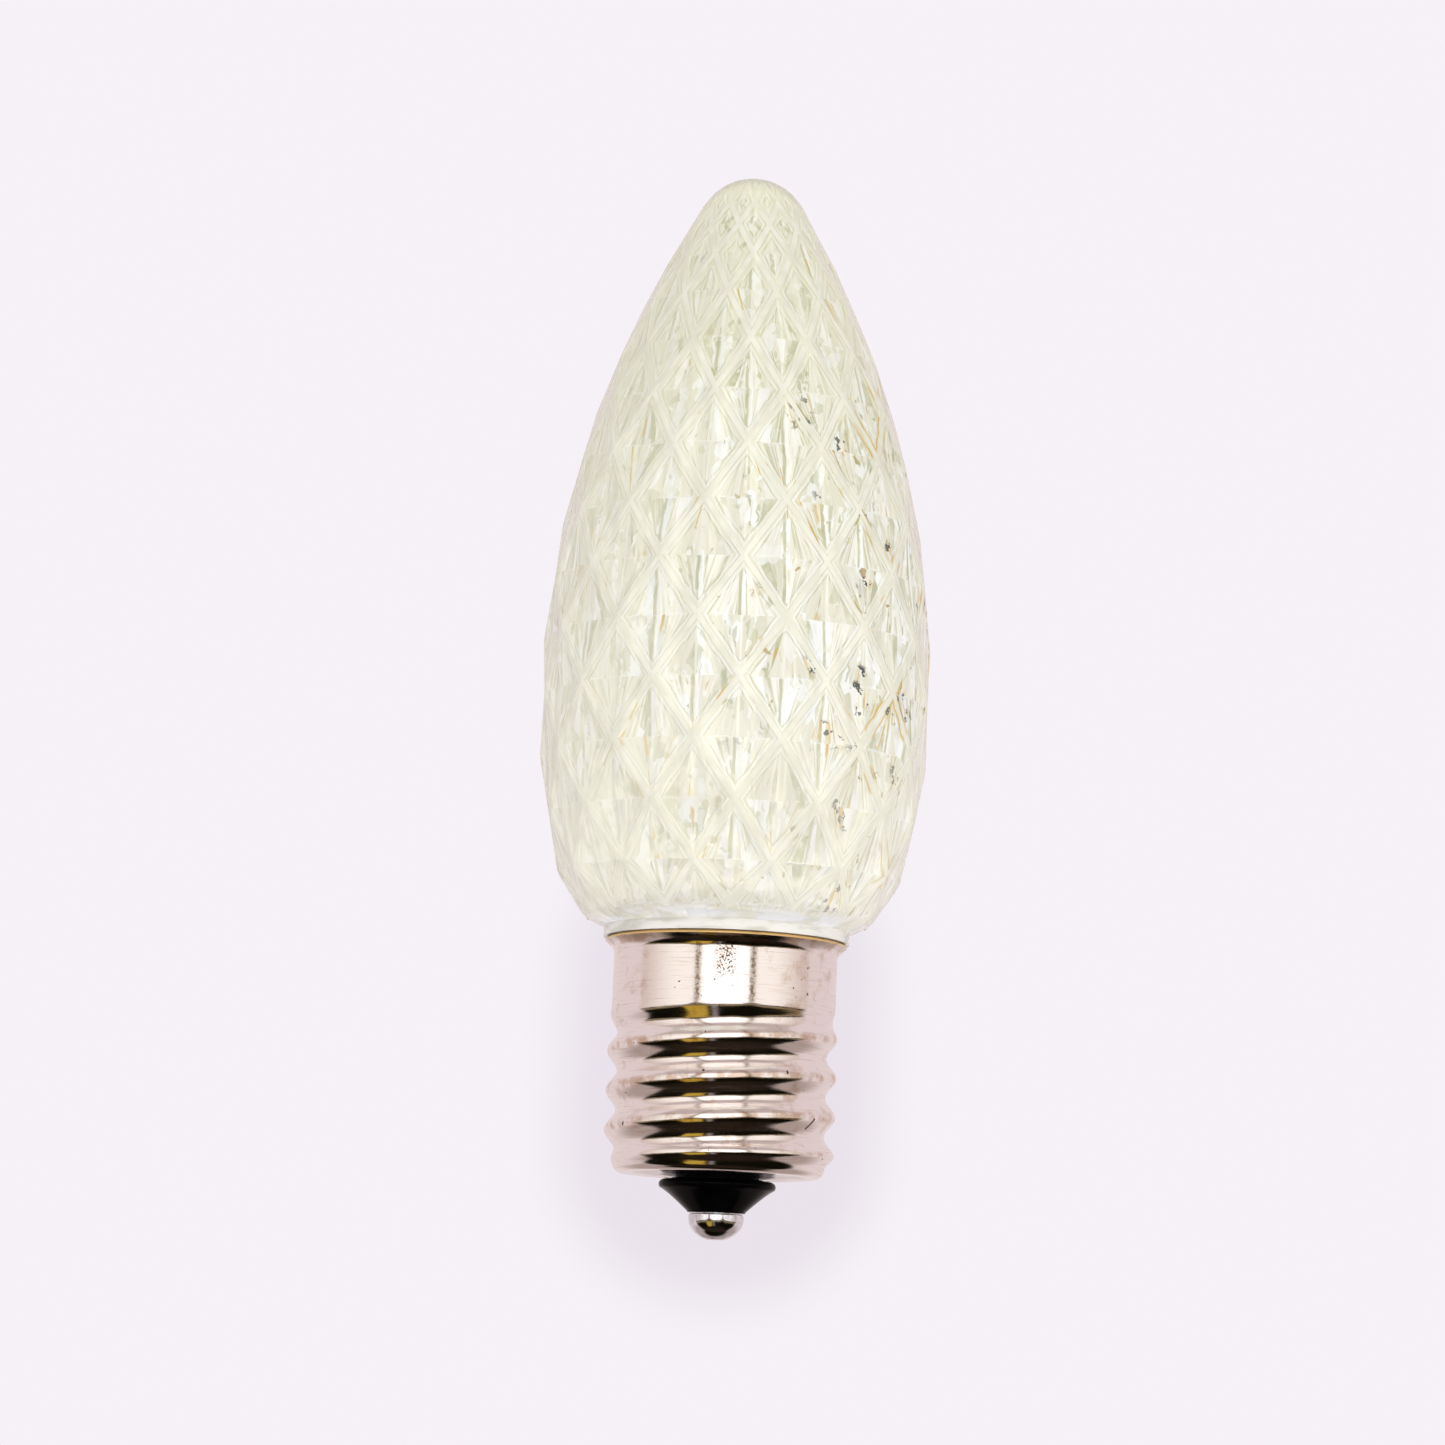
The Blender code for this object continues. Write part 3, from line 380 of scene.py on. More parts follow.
def lamp(name, place, size, watts):
    data = bpy.data.lights.new(name, "AREA")
    data.shape = "RECTANGLE"
    data.size, data.size_y = size
    data.energy = watts
    obj = bpy.data.objects.new(name, data)
    obj.location = place
    obj.rotation_euler = (LAMP_AIM - Vector(place)).to_track_quat("-Z", "Y").to_euler()
    obj.visible_glossy = False
    obj.visible_transmission = False
    scene.collection.objects.link(obj)
    print("lamp", name, watts, "W")


lamp("key", (-0.75, -0.6, 0.5), (0.6, 0.6), 5.2)
lamp("fill", (0.8, -0.55, 0.2), (0.6, 0.6), 4.2)
lamp("low", (0.1, -0.7, -0.3), (0.6, 0.4), 3.4)
lamp("back", (0.2, 0.9, 0.4), (0.6, 0.6), 4.5)


# %% [markdown]
# ## Clear plastic
# The lens is moulded in one shot from a clear plastic with a faint yellow cast, which grows with
# the thickness that the light passes through. A tinted surface would be yellow all over, so the
# cast comes from a volume that absorbs blue. The hollow's wall lets all other light through.

# %% Shaders for the finishes
def principled(name, **values):
    """A new material with one shader, whose values are given under their sockets' names."""
    material = bpy.data.materials.new(name)
    n = Nodes(material)
    shader = n.add("BsdfPrincipled")
    for key, value in values.items():
        n.put(shader.inputs[key.replace("_", " ")], value)
    n.out = n.add("OutputMaterial", {"Surface": shader.outputs[0]})
    return material, n, shader


# %% Clear plastic
PLASTIC_IOR = 1.49
BODY_CAST = (0.86, 0.86, 0.30, 1)
HOLLOW_DENSITY = 22.0
FACET_DENSITY = 10.0


def moulded_plastic(name, transmission, roughness, density):
    """A plastic whose body has a yellow cast, and which lets a share of the light through."""
    material, n, shader = principled(
        name, IOR=PLASTIC_IOR, Transmission_Weight=transmission, Roughness=roughness,
    )
    body = n.add("VolumeAbsorption", {"Color": BODY_CAST, "Density": density})
    n.put(n.out.inputs["Volume"], body.outputs[0])
    return material, n, shader


clear_plastic, n, shader = moulded_plastic("clear_plastic", 1.0, 0.0, HOLLOW_DENSITY)
n.put(shader.inputs["Base Color"], (1, 1, 1, 1))
print("clear plastic nodes:", len(clear_plastic.node_tree.nodes))

# %% [markdown]
# ## Cut plastic
# Seen through a cut facet, the fluted hollow behind it breaks up into straight slivers that meet
# at the facet's point. Real refraction would need far more rays than a render has, so the finish
# paints the slivers into the colour as painted refraction: it finds which triangle of the lattice
# a point lies in, measures how far round its point it is, and gives each sliver its own painted
# shade and a slightly tilted mirror.

# %% Place in the lattice
FACETS = 14
FACET_STEP = 4.3 * MM
LENS_TURN = deg(0.8)
FIRST_COLUMN = -math.pi / 2 + LENS_TURN

cut_plastic, n, shader = moulded_plastic("cut_plastic", 0.42, 0.04, FACET_DENSITY)
place = n.place()
px, py, pz = n.apart(place)
row = n.add("Attribute", attribute_name="row").outputs["Fac"]
turned = n.minus(n.math("ARCTAN2", py, px), FIRST_COLUMN)
column = n.times(turned, FACETS / math.tau)
ring = n.math("FLOOR", row)
up = n.minus(row, ring)
down = n.minus(1.0, up)
print("first column at, degrees:", round(math.degrees(FIRST_COLUMN), 1))


# %% Which way a facet points
def fan(apex_ring, from_apex):
    """The column of the nearest point of the lattice, and the way round it, -0.5 to 0.5."""
    half = n.times(apex_ring, 0.5)
    centre = n.plus(n.math("ROUND", n.minus(column, half)), half)
    return centre, n.math("DIVIDE", n.minus(column, centre), n.math("MAXIMUM", from_apex, 0.02))


up_centre, up_fan = fan(n.plus(ring, 1.0), down)
down_centre, down_fan = fan(ring, up)
points_up = n.math("LESS_THAN", n.absolute(up_fan), 0.5)


def pick(if_up, if_down):
    """One value on the facets that point up, and the other on those that point down."""
    node = n.add("Mix", data_type="FLOAT")
    n.put(node.inputs[0], points_up)
    n.put(node.inputs[2], if_down)
    n.put(node.inputs[3], if_up)
    return node.outputs[0]


spread = pick(up_fan, down_fan)
centre = pick(up_centre, down_centre)
from_apex = pick(down, up)
n.tell("lattice")

# %% Measures on a facet, in millimetres
FACET_MM = FACET_STEP / MM
girth = n.hypotenuse(px, py)
width = n.times(girth, from_apex, math.tau / FACETS / MM)
to_middle = n.times(n.absolute(spread), width)
to_land = n.minus(n.times(width, 0.5), to_middle)
to_crease = n.times(n.minus(1.0, from_apex), FACET_MM)
to_point = n.times(from_apex, FACET_MM)
n.tell("measures")

# %% [markdown]
# ## Slivers and streaks
# The painted slivers of refracted light fan out from a facet's point. A Voronoi pattern gives each
# cell one colour at random, and where its first axis is the way round the point and its second the
# way along, the cells become long slivers. A noise with a finer first axis gives the painted bright
# and dark streaks inside them. Two noises in plain space, wobble and ragged, keep the edges from
# looking ruled.

# %% Slivers
SLIVERS_ACROSS = 7.0
STREAKS_ACROSS = 26.0
DEEP = (0.81, 0.795, 0.65, 1)
PALE = (0.90, 0.885, 0.765, 1)
DULL = (0.76, 0.735, 0.60, 1)

# a number that neighbouring facets don't share, so that their patterns never join up
facet_number = n.plus(n.times(ring, 3.1), n.times(points_up, 1.7))
lengthways = n.plus(n.times(from_apex, 0.9), n.times(centre, 7.3))
wobble = n.times(n.minus(n.noise(place, 500.0), 0.5), 0.5)
across = n.plus(n.times(spread, SLIVERS_ACROSS), wobble)
slivers = n.cells(n.point(across, lengthways, facet_number))
kind, shade, strength = n.channels(slivers)
facet = n.point(centre, ring, points_up)
facet_pick = n.add("TexWhiteNoise", {"Vector": facet}, noise_dimensions="3D").outputs["Value"]
# painted refraction: each sliver gets a painted shade between DEEP and PALE, and some facets a duller one
cut = Coats(n, n.mix(shade, DEEP, PALE))
cut.lay(DULL, n.step(facet_pick, 0.5, 1.0), 0.35)
print("slivers across a facet:", round(SLIVERS_ACROSS))

# %% Streaks
BRIGHT = (0.97, 0.96, 0.88, 1)
GLARE = (0.98, 1.0, 1.0, 1)
OLIVE = (0.46, 0.47, 0.28, 1)
SHADOW = (0.58, 0.58, 0.40, 1)

fine = n.point(n.times(spread, STREAKS_ACROSS), lengthways, facet_number)
streaks = n.noise(fine, 1.0, 1.0)
ragged = n.noise(place, 650.0)
near_middle = n.step(n.absolute(spread), 0.45, 0.15, 0.5, 1.0)
streaked = n.times(n.step(facet_pick, 0.80, 0.40, 0.15, 0.95), near_middle)
# painted highlights and shade: bright, dark and olive streaks and white glare stand for refracted light
cut.lay(BRIGHT, n.step(streaks, 0.51, 0.58), streaked)
cut.lay(SHADOW, n.step(streaks, 0.43, 0.37), streaked, 0.8)
cut.lay(OLIVE, n.step(streaks, 0.30, 0.26), n.step(ragged, 0.45, 0.55), near_middle, 0.85)
cut.lay(GLARE, n.step(kind, 0.84, 0.86), n.step(ragged, 0.28, 0.62))
cut.lay(OLIVE, n.step(kind, 0.13, 0.11), n.step(strength, 0.1, 1.0, 0.2, 0.9), n.step(ragged, 0.70, 0.40))
n.tell("streaks")

# %% [markdown]
# ## Crumbs and splinters
# Between the slivers the photograph shows small broken glints, where light has met several
# facets in a row, and here they are painted as bright and olive crumbs. They follow no facet, so
# their cells lie in plain space, about twice as tall as wide. Splinters are smaller painted glints
# of the same kind, gathered in patches.

# %% Crumbs
CRUMBS_WIDE = 1300.0
CRUMBS_TALL = 620.0
SPLINTERS = (3.0, 3.0, 2.2)

swirl = n.times(n.minus(ragged, 0.5), 2.0)
crumb_x = n.plus(n.times(px, CRUMBS_WIDE), swirl)
crumb_z = n.plus(n.times(pz, CRUMBS_TALL), swirl)
crumb_place = n.point(crumb_x, n.times(py, CRUMBS_WIDE), crumb_z)
crumb_kind, _, crumb_strength = n.channels(n.cells(crumb_place))
# painted glints: bright and olive crumbs of refracted light
cut.lay(GLARE, n.step(crumb_kind, 0.84, 0.86), crumb_strength)
cut.lay(OLIVE, n.step(crumb_kind, 0.12, 0.10), crumb_strength, 0.5)
print("crumb, mm wide and tall:", round(1 / CRUMBS_WIDE / MM, 2), round(1 / CRUMBS_TALL / MM, 2))

# %% Splinters
splinters = n.cells(n.stretched(crumb_place, SPLINTERS))
splinter_kind, _, splinter_strength = n.channels(splinters)
patch = n.step(n.noise(place, 420.0), 0.46, 0.56)
# painted glints: splinters of bright and olive light, gathered in patches
cut.lay(GLARE, n.step(splinter_kind, 0.86, 0.88), patch, splinter_strength)
cut.lay(OLIVE, n.step(splinter_kind, 0.12, 0.10), patch, splinter_strength, 0.8)
n.tell("splinters")

# %% [markdown]
# ## Lines, lands and stars
# A cut facet has a crease across its foot and a ridge of light down its middle. Its edges are the
# rounded lands, which shine as pale bands with a bright line and a dark line beside them, and
# where six facets meet the bands run together in a star. All of these are painted light and shade:
# each is a hill or a step on a distance in millimetres, with the ragged noise added so that no line
# is perfectly straight.

# %% Middle and crease
# the distances here and below are in millimetres from the line, band or point
split_facets = n.times(n.step(facet_pick, 0.50, 0.36), n.step(from_apex, 0.12, 0.3))
split = n.times(split_facets, n.step(ragged, 0.30, 0.50, 0.3, 1.0))
from_middle = n.plus(n.times(spread, width), n.times(n.minus(ragged, 0.5), 0.3))
# painted highlight down the middle and along the crease, and painted dark and bright lines where a facet
# splits
cut.lay(BRIGHT, n.step(to_middle, 0.13, 0.05), n.step(facet_pick, 0.3, 0.7), 0.7)
cut.lay(OLIVE, n.hill(from_middle, -0.16, 0.07, 0.08), split, 0.75)
cut.lay(GLARE, n.hill(from_middle, 0.14, 0.09, 0.06), split, 0.9)
cut.lay(GLARE, n.step(to_crease, 0.13, 0.05), n.step(strength, 0.4, 0.9), 0.6)
n.tell("middle and crease")

# %% Bands and stars
LAND = (0.85, 0.84, 0.71, 1)
STAR_REACH = 1.15

uneven = n.times(n.minus(ragged, 0.5), 0.5)
from_land = n.plus(to_land, uneven)
corner = n.plus(n.plus(n.times(to_crease, 0.8), to_land), uneven)
star = n.step(n.math("MINIMUM", to_point, corner), STAR_REACH, 0.75)
band = n.step(from_land, 0.62, 0.46)
blobs = n.times(n.hill(corner, STAR_REACH, 0.12, 0.2), n.step(n.noise(place, 300.0, 1.0), 0.60, 0.65))
# painted pale bands and stars on the lands, olive patches at the stars' edges, and a painted bright line
# and painted shadow lines beside the bands
cut.lay(LAND, n.math("MAXIMUM", star, band), 0.75)
cut.lay(OLIVE, blobs, n.math("GREATER_THAN", spread, 0.0), 0.8)
cut.lay(GLARE, n.hill(from_land, 0.50, 0.03, 0.07), n.step(streaks, 0.40, 0.60, 0.2, 0.7))
cut.lay(SHADOW, n.hill(from_land, 0.66, 0.03, 0.08), n.step(streaks, 0.60, 0.40, 0.15, 0.8))
cut.lay(SHADOW, n.hill(to_land, 0.26, 0.02, 0.06), n.step(ragged, 0.35, 0.65, 0.1, 0.6))
n.tell("bands and stars")

# %% [markdown]
# ## Specks
# The light's yellow chips and the dark gaps around them show in the lens as scattered amber chips
# and black specks, most of them on its right, and here that refraction is painted into the colour.
# They gather in clusters, so a coarse noise picks the places and a fine pattern draws what is in
# them. The tip stays nearly free of them.

# %% Where the painted specks gather
SPECK_TOP = 66 * MM
CLUSTER_SCALE = 330.0

below_tip = n.step(pz, SPECK_TOP, 60 * MM)
more_right = n.step(px, -2 * MM, 7 * MM, 0.25, 1.0)
far_right = n.step(px, 6 * MM, 9 * MM, 0.0, 0.9)
cluster_noise = n.noise(place, CLUSTER_SCALE, 1.0)
few = n.times(n.step(cluster_noise, 0.60, 0.68), more_right, below_tip)
print("specks stay below, mm:", round(SPECK_TOP / MM))

# %% Amber chips, brown glimpses and strokes, all painted refraction
AMBER = (0.72, 0.41, 0.01, 1)
BROWN_GLIMPSE = (0.42, 0.30, 0.10, 1)
STROKE = (0.40, 0.32, 0.05, 1)

chip_kind = n.channels(n.cells(fine, 0.9))[0]
# painted refraction: amber chips, brown glimpses and olive strokes stand for the light's chips seen
# through the lens
cut.lay(AMBER, n.step(chip_kind, 0.80, 0.82), few, 0.7)
along_land = n.times(n.hill(from_land, 0.50, 0.06, 0.05), n.step(n.noise(place, 170.0, 1.0), 0.56, 0.60))
cut.lay(AMBER, along_land, far_right)
brown_glimpses = n.times(n.step(n.noise(place, 750.0), 0.70, 0.74), n.step(px, -6 * MM, 6 * MM, 0.4, 0.9))
cut.lay(BROWN_GLIMPSE, brown_glimpses, below_tip)
one_side = n.times(n.math("LESS_THAN", spread, 0.0), n.step(pz, SPECK_TOP, 62 * MM))
strokes = n.times(n.hill(from_land, 0.44, 0.05, 0.08), n.step(cluster_noise, 0.64, 0.68))
cut.lay(STROKE, strokes, one_side, 0.8)
short_chips = n.times(n.step(chip_kind, 0.96, 0.97), n.step(n.noise(place, 450.0, 1.0), 0.54, 0.60))
cut.lay(AMBER, short_chips, 0.85)
n.tell("chips, blots and strokes")

# %% Painted dark glimpses
SLATE = (0.02, 0.03, 0.035, 1)
DARK_GLIMPSE_WIDE = 2600.0
DARK_GLIMPSE_TALL = 1700.0

# a fine noise bends the cells, so that the grains look broken
dark_glimpse_x = n.plus(n.times(px, DARK_GLIMPSE_WIDE), n.times(n.noise(place, 2500.0, 3.0), 5.0))
dark_glimpse_place = n.point(dark_glimpse_x, n.times(py, DARK_GLIMPSE_WIDE), n.times(pz, DARK_GLIMPSE_TALL))
dark_glimpse = n.channels(n.cells(dark_glimpse_place))[0]
# painted refraction: black glimpses of the dark gaps round the light's chips
cut.lay(SLATE, n.step(dark_glimpse, 0.88, 0.90), few, 0.97)
print("grain of grit, mm wide:", round(1 / DARK_GLIMPSE_WIDE / MM, 2))

# %% [markdown]
# ## Shoulder, foot and tip
# The lens isn't cut alike all over. The photograph's lower left is calm, the tip is thick and so
# looks more yellow, and the shoulder below the first ring is fluted, with pale clouds in place of
# facets. All three are painted: a plain cream over the painted refraction, a painted yellow for the
# light's longer path through the tip, and painted pale clouds and glare on the shoulder. These
# coats come last, because they quieten or hide what is below them.

# %% Coats over the whole lens
CALM = (0.86, 0.85, 0.72, 1)
TIP_YELLOW = (0.78, 0.77, 0.50, 1)
SHOULDER_CLOUDS = (300, 300, 900)

lively = n.times(n.step(px, -9 * MM, 1 * MM, 0.6, 1.0), n.step(pz, 28 * MM, 42 * MM, 0.55, 1.0))
cut.lay(CALM, n.minus(1.0, lively), n.step(py, 2 * MM, -6 * MM))
# painted yellow that stands for the light's longer path through the thick tip
cut.lay(TIP_YELLOW, n.step(pz, 40 * MM, 74 * MM), 0.30)
clouds = n.step(n.noise(n.stretched(place, SHOULDER_CLOUDS), 1.0, 3.0), 0.42, 0.60)
# painted refraction on the fluted shoulder: pale clouds and glare
cut.lay(n.mix(clouds, LAND, GLARE), n.step(row, 0.02, -0.15))
n.put(shader.inputs["Base Color"], cut.colour)
n.tell("cut plastic's colour")

# %% Tilted mirrors
SLIVER_TILT = 0.16
tilt = n.add("VectorMath", {0: slivers, 1: (0.5, 0.5, 0.5)}, operation="SUBTRACT").outputs[0]
tilt = n.add("VectorMath", {0: tilt, "Scale": SLIVER_TILT}, operation="SCALE").outputs[0]
flat = n.add("NewGeometry").outputs["Normal"]
normal = n.add("VectorMath", {0: flat, 1: tilt}, operation="ADD").outputs[0]
normal = n.add("VectorMath", {0: normal}, operation="NORMALIZE").outputs[0]
n.put(shader.inputs["Normal"], normal)
print("cut plastic nodes:", len(cut_plastic.node_tree.nodes))


# %% [markdown]
# ## Lands and rim
# The lands between the facets are rolled smooth in the mould, so they take a softer gloss. The
# rim sits in the shell's lip, where little light gets through, so its colour is painted greyer as
# shade, with thin level clouds. Both are the lens's own plastic with one cloudy colour in place of
# the slivers.

# %% Lands and rim
def cloudy_plastic(name, transmission, roughness, clouds, low, high, tints):
    """Moulded plastic with clouds: their size along each axis, and the noise from low to high."""
    material, n, shader = moulded_plastic(name, transmission, roughness, FACET_DENSITY)
    cloud = n.noise(n.stretched(n.place(), clouds), 1.0, 3.0)
    n.put(shader.inputs["Base Color"], n.mix(n.step(cloud, low, high), *tints))
    return material


LAND_TINTS = ((0.74, 0.73, 0.61, 1), (0.83, 0.82, 0.71, 1))
# the rim's greyer tints are painted shade, for the little light that reaches it in the lip
RIM_TINTS = ((0.50, 0.49, 0.43, 1), (0.66, 0.65, 0.60, 1))
land_plastic = cloudy_plastic("land_plastic", 0.35, 0.2, (500, 500, 500), 0.35, 0.65, LAND_TINTS)
rim_plastic = cloudy_plastic("rim_plastic", 0.12, 0.15, (350, 350, 1400), 0.38, 0.60, RIM_TINTS)
print("cloudy plastics:", land_plastic.name, "and", rim_plastic.name)

# %% [markdown]
# ## The lens's outline
# In side view the lens is a candle flame: a fluted shoulder, the widest ring low down, and a
# long rise to a rounded tip. Two Bezier curves and an arc draw it from a few sizes. The places of
# the facet rings are measured along that curve and not up the axis, so that the facets keep their
# shape where the side leans in. Their step shrinks towards the tip, as the lens gets narrow.

# %% Lens sizes
lens_low, lens_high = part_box("lens")
TIP = lens_high.z
TIP_RADIUS = 4.16 * MM
TIP_ANGLE = deg(31.6)
LENS_RADIUS = 14.16 * MM
TIP_ABOVE_WIDEST = 38.35 * MM
WIDEST_ABOVE_RIM = 17.25 * MM
WIDEST = TIP - TIP_ABOVE_WIDEST
RIM_TOP = WIDEST - WIDEST_ABOVE_RIM
RIM_RADIUS = 8.85 * MM
SHOULDER_RISE = 0.5 * MM
LOWER_FULLNESS = 17.9 * MM
MIDDLE_FULLNESS = 13.3 * MM
UPPER_FULLNESS = 12.55 * MM
print("lens from rim to tip, mm:", round((TIP - RIM_TOP) / MM, 2))


# %% Curves
def arc(centre, radii, start, end, steps):
    """Points on an ellipse in (radius, height), with angles in degrees from the outward side."""
    points = []
    for step in range(steps + 1):
        angle = deg(start + (end - start) * step / steps)
        points.append((centre[0] + radii[0] * math.cos(angle), centre[1] + radii[1] * math.sin(angle)))
    return points


def bezier(start, start_handle, end_handle, end, steps):
    """Points on a cubic curve between two ends, each with a handle that it leaves towards."""
    points = []
    for step in range(steps + 1):
        t = step / steps
        weights = ((1 - t) ** 3, 3 * (1 - t) ** 2 * t, 3 * (1 - t) * t**2, t**3)
        corners = (start, start_handle, end_handle, end)
        radius = sum(weight * corner[0] for weight, corner in zip(weights, corners))
        height = sum(weight * corner[1] for weight, corner in zip(weights, corners))
        points.append((radius, height))
    return points


# %% Outline
OUTLINE_STEPS = 60


def lens_outline():
    """(radius, height) points from the rim's top to the tip."""
    widest = (LENS_RADIUS, WIDEST)
    tip_centre = TIP - TIP_RADIUS
    along = (-math.sin(TIP_ANGLE), math.cos(TIP_ANGLE))
    tangent = (TIP_RADIUS * math.cos(TIP_ANGLE), tip_centre + TIP_RADIUS * math.sin(TIP_ANGLE))
    before_tip = (tangent[0] - UPPER_FULLNESS * along[0], tangent[1] - UPPER_FULLNESS * along[1])
    rim_handle = (RIM_RADIUS, RIM_TOP + SHOULDER_RISE)
    lower = bezier(
        (RIM_RADIUS, RIM_TOP), rim_handle, (LENS_RADIUS, WIDEST - LOWER_FULLNESS), widest, OUTLINE_STEPS,
    )
    upper = bezier(widest, (LENS_RADIUS, WIDEST + MIDDLE_FULLNESS), before_tip, tangent, OUTLINE_STEPS)
    tip_radii = (TIP_RADIUS, TIP_RADIUS)
    tip = arc((0, tip_centre), tip_radii, math.degrees(TIP_ANGLE), 90, OUTLINE_STEPS // 3)
    return lower + upper[1:] + tip[1:]


outline = lens_outline()
print("outline points:", len(outline))


# %% Lengths along the outline
def lengths_along(outline):
    """How far along the outline each of its points lies."""
    total = [0.0]
    for a, b in zip(outline, outline[1:]):
        total.append(total[-1] + math.dist(a, b))
    return total


def point_along(outline, lengths, length):
    """The point that lies this far along the outline."""
    for i, end in enumerate(lengths[1:]):
        if length <= end:
            t = (length - lengths[i]) / (end - lengths[i])
            a, b = outline[i], outline[i + 1]
            return a[0] + (b[0] - a[0]) * t, a[1] + (b[1] - a[1]) * t
    return outline[-1]


lengths = lengths_along(outline)
print("lens outline, mm long:", round(lengths[-1] / MM, 1))

# %% Rings of the lattice
FIRST_RING_OUT = 1.5 * MM
FIRST_FACET_STEP = 3.45 * MM
TAPER_RADIUS = 9.8 * MM
LAST_RING_RADIUS = 3.0 * MM


def facet_rings():
    """The rings at which the facets' points lie, from the shoulder to the tip's cap."""
    first = RIM_RADIUS + FIRST_RING_OUT
    length = next(length for length, point in zip(lengths, outline) if point[0] >= first)
    rings = [point_along(outline, lengths, length)]
    length += FIRST_FACET_STEP
    while True:
        ring = point_along(outline, lengths, length)
        if ring[1] > WIDEST and ring[0] < LAST_RING_RADIUS:
            return rings
        rings.append(ring)
        length += FACET_STEP * min(1, ring[0] / TAPER_RADIUS)


rings = facet_rings()
print("facet rings:", len(rings))

# %% [markdown]
# ## The lens's outside
# The lattice is a turned shape that is twisted. A profile with few sides is spun, each ring above
# the first is turned by half a facet more than the one below, and every slanted four-sided panel
# is cut along its short diagonal. That gives the diamond cut with straight ridges, and a bevel
# rolls each ridge into a land. The shoulder, the rim and the cap get many sides and stay round.

# %% Turned shapes
# points this close lie on one ring, are near it, or are welded into one
HAIR = 1e-3 * MM
NEAR = 0.1 * MM
WELD = 1e-4 * MM


def spun(bm, profile, sides, start=0.0):
    """Spins (radius, height) points round the Z axis and welds the seam and the poles."""
    verts = [bm.verts.new((r * math.cos(start), r * math.sin(start), z)) for r, z in profile]
    edges = [bm.edges.new(pair) for pair in zip(verts, verts[1:])]
    bmesh.ops.spin(
        bm, geom=verts + edges, axis=(0, 0, 1), cent=(0, 0, 0), angle=math.tau, steps=sides,
        use_merge=True,
    )
    bmesh.ops.remove_doubles(bm, verts=bm.verts, dist=WELD)


# %% The lens's profile
RIM_HEIGHT = 0.76 * MM
RIM_FOOT = RIM_TOP - RIM_HEIGHT
PLUG_FOOT = lens_low.z
PLUG_RADIUS = 7.43 * MM
BORE_RADIUS = 6.1 * MM
ROUND_PARTS = 6


def round_rings(start, end):
    """Rings that part the outline between two lengths into equal parts."""
    step = (end - start) / ROUND_PARTS
    return [point_along(outline, lengths, start + step * i) for i in range(1, ROUND_PARTS)]


def length_above(height):
    return next(length for length, point in zip(lengths, outline) if point[1] > height)


first, last = rings[0][1], rings[-1][1]
cap = round_rings(length_above(last), lengths[-1])
shoulder = round_rings(0.0, length_above(first))
profile = [
    (BORE_RADIUS, PLUG_FOOT), (PLUG_RADIUS, PLUG_FOOT), (PLUG_RADIUS, RIM_FOOT), (RIM_RADIUS, RIM_FOOT),
    (RIM_RADIUS, RIM_TOP), *shoulder, *rings, *cap, (0, TIP),
]
print("profile points:", len(profile))

# %% Twisted rings
bm = bmesh.new()
spun(bm, profile, FACETS, FIRST_COLUMN)
for index, ring in enumerate([*rings, *cap]):
    twist = Matrix.Rotation(min(index, len(rings) - 1) * math.pi / FACETS, 3, "Z")
    level = [vert for vert in bm.verts if abs(vert.co.z - ring[1]) < HAIR]
    bmesh.ops.rotate(bm, verts=level, cent=(0, 0, 0), matrix=twist)
panels = [face for face in bm.faces if first < face.calc_center_median().z < last]
bmesh.ops.triangulate(bm, faces=panels, quad_method="SHORT_EDGE")
ridges = []
for edge in bm.edges:
    low, high = sorted(vert.co.z for vert in edge.verts)
    if low > first - NEAR and high < last + NEAR and high - low > NEAR:
        ridges.append(edge)
print("ridges:", len(ridges))

# %% Round shoulder and cap
SIDES_PER_FACET = 8


def is_level(edge):
    a, b = (vert.co for vert in edge.verts)
    return abs(a.z - b.z) < HAIR and abs(a.xy.length - b.xy.length) < HAIR


def make_round(bm, low_end, high_start):
    """Cuts the sides of the rings outside these heights and moves the cuts out to the circle."""
    rings = {}
    for edge in bm.edges:
        co = edge.verts[0].co
        if is_level(edge) and not low_end < co.z < high_start:
            rings.setdefault((round(co.z / MM, 2), round(co.xy.length / MM, 2)), []).append(edge)
    for ring in rings.values():
        radius = ring[0].verts[0].co.xy.length
        cut = bmesh.ops.subdivide_edges(bm, edges=ring, cuts=SIDES_PER_FACET - 1)
        for item in cut["geom_inner"]:
            if isinstance(item, bmesh.types.BMVert):
                item.co.xy = item.co.xy.normalized() * radius


make_round(bm, first + NEAR, last - NEAR)
bmesh.ops.triangulate(bm, faces=bm.faces, quad_method="SHORT_EDGE", ngon_method="BEAUTY")
for face in bm.faces:
    on_shoulder = sum(vert.co.z < first + NEAR for vert in face.verts) > 1
    on_cap = sum(vert.co.z > last - NEAR for vert in face.verts) > 1
    face.smooth = on_shoulder or on_cap
print("smooth faces of the shoulder and the cap:", sum(face.smooth for face in bm.faces))

# %% Rolled lands
LAND_WIDTH = 0.5 * MM
LAND_FINISH = 1
HOLLOW_FINISH = 2
RIM_FINISH = 3

made = bmesh.ops.bevel(
    bm, geom=ridges, offset=LAND_WIDTH / 2, offset_type="OFFSET", segments=3, profile=0.5,
    affect="EDGES", clamp_overlap=True, material=-1,
)
for face in made["faces"]:
    face.material_index = LAND_FINISH
    face.smooth = True
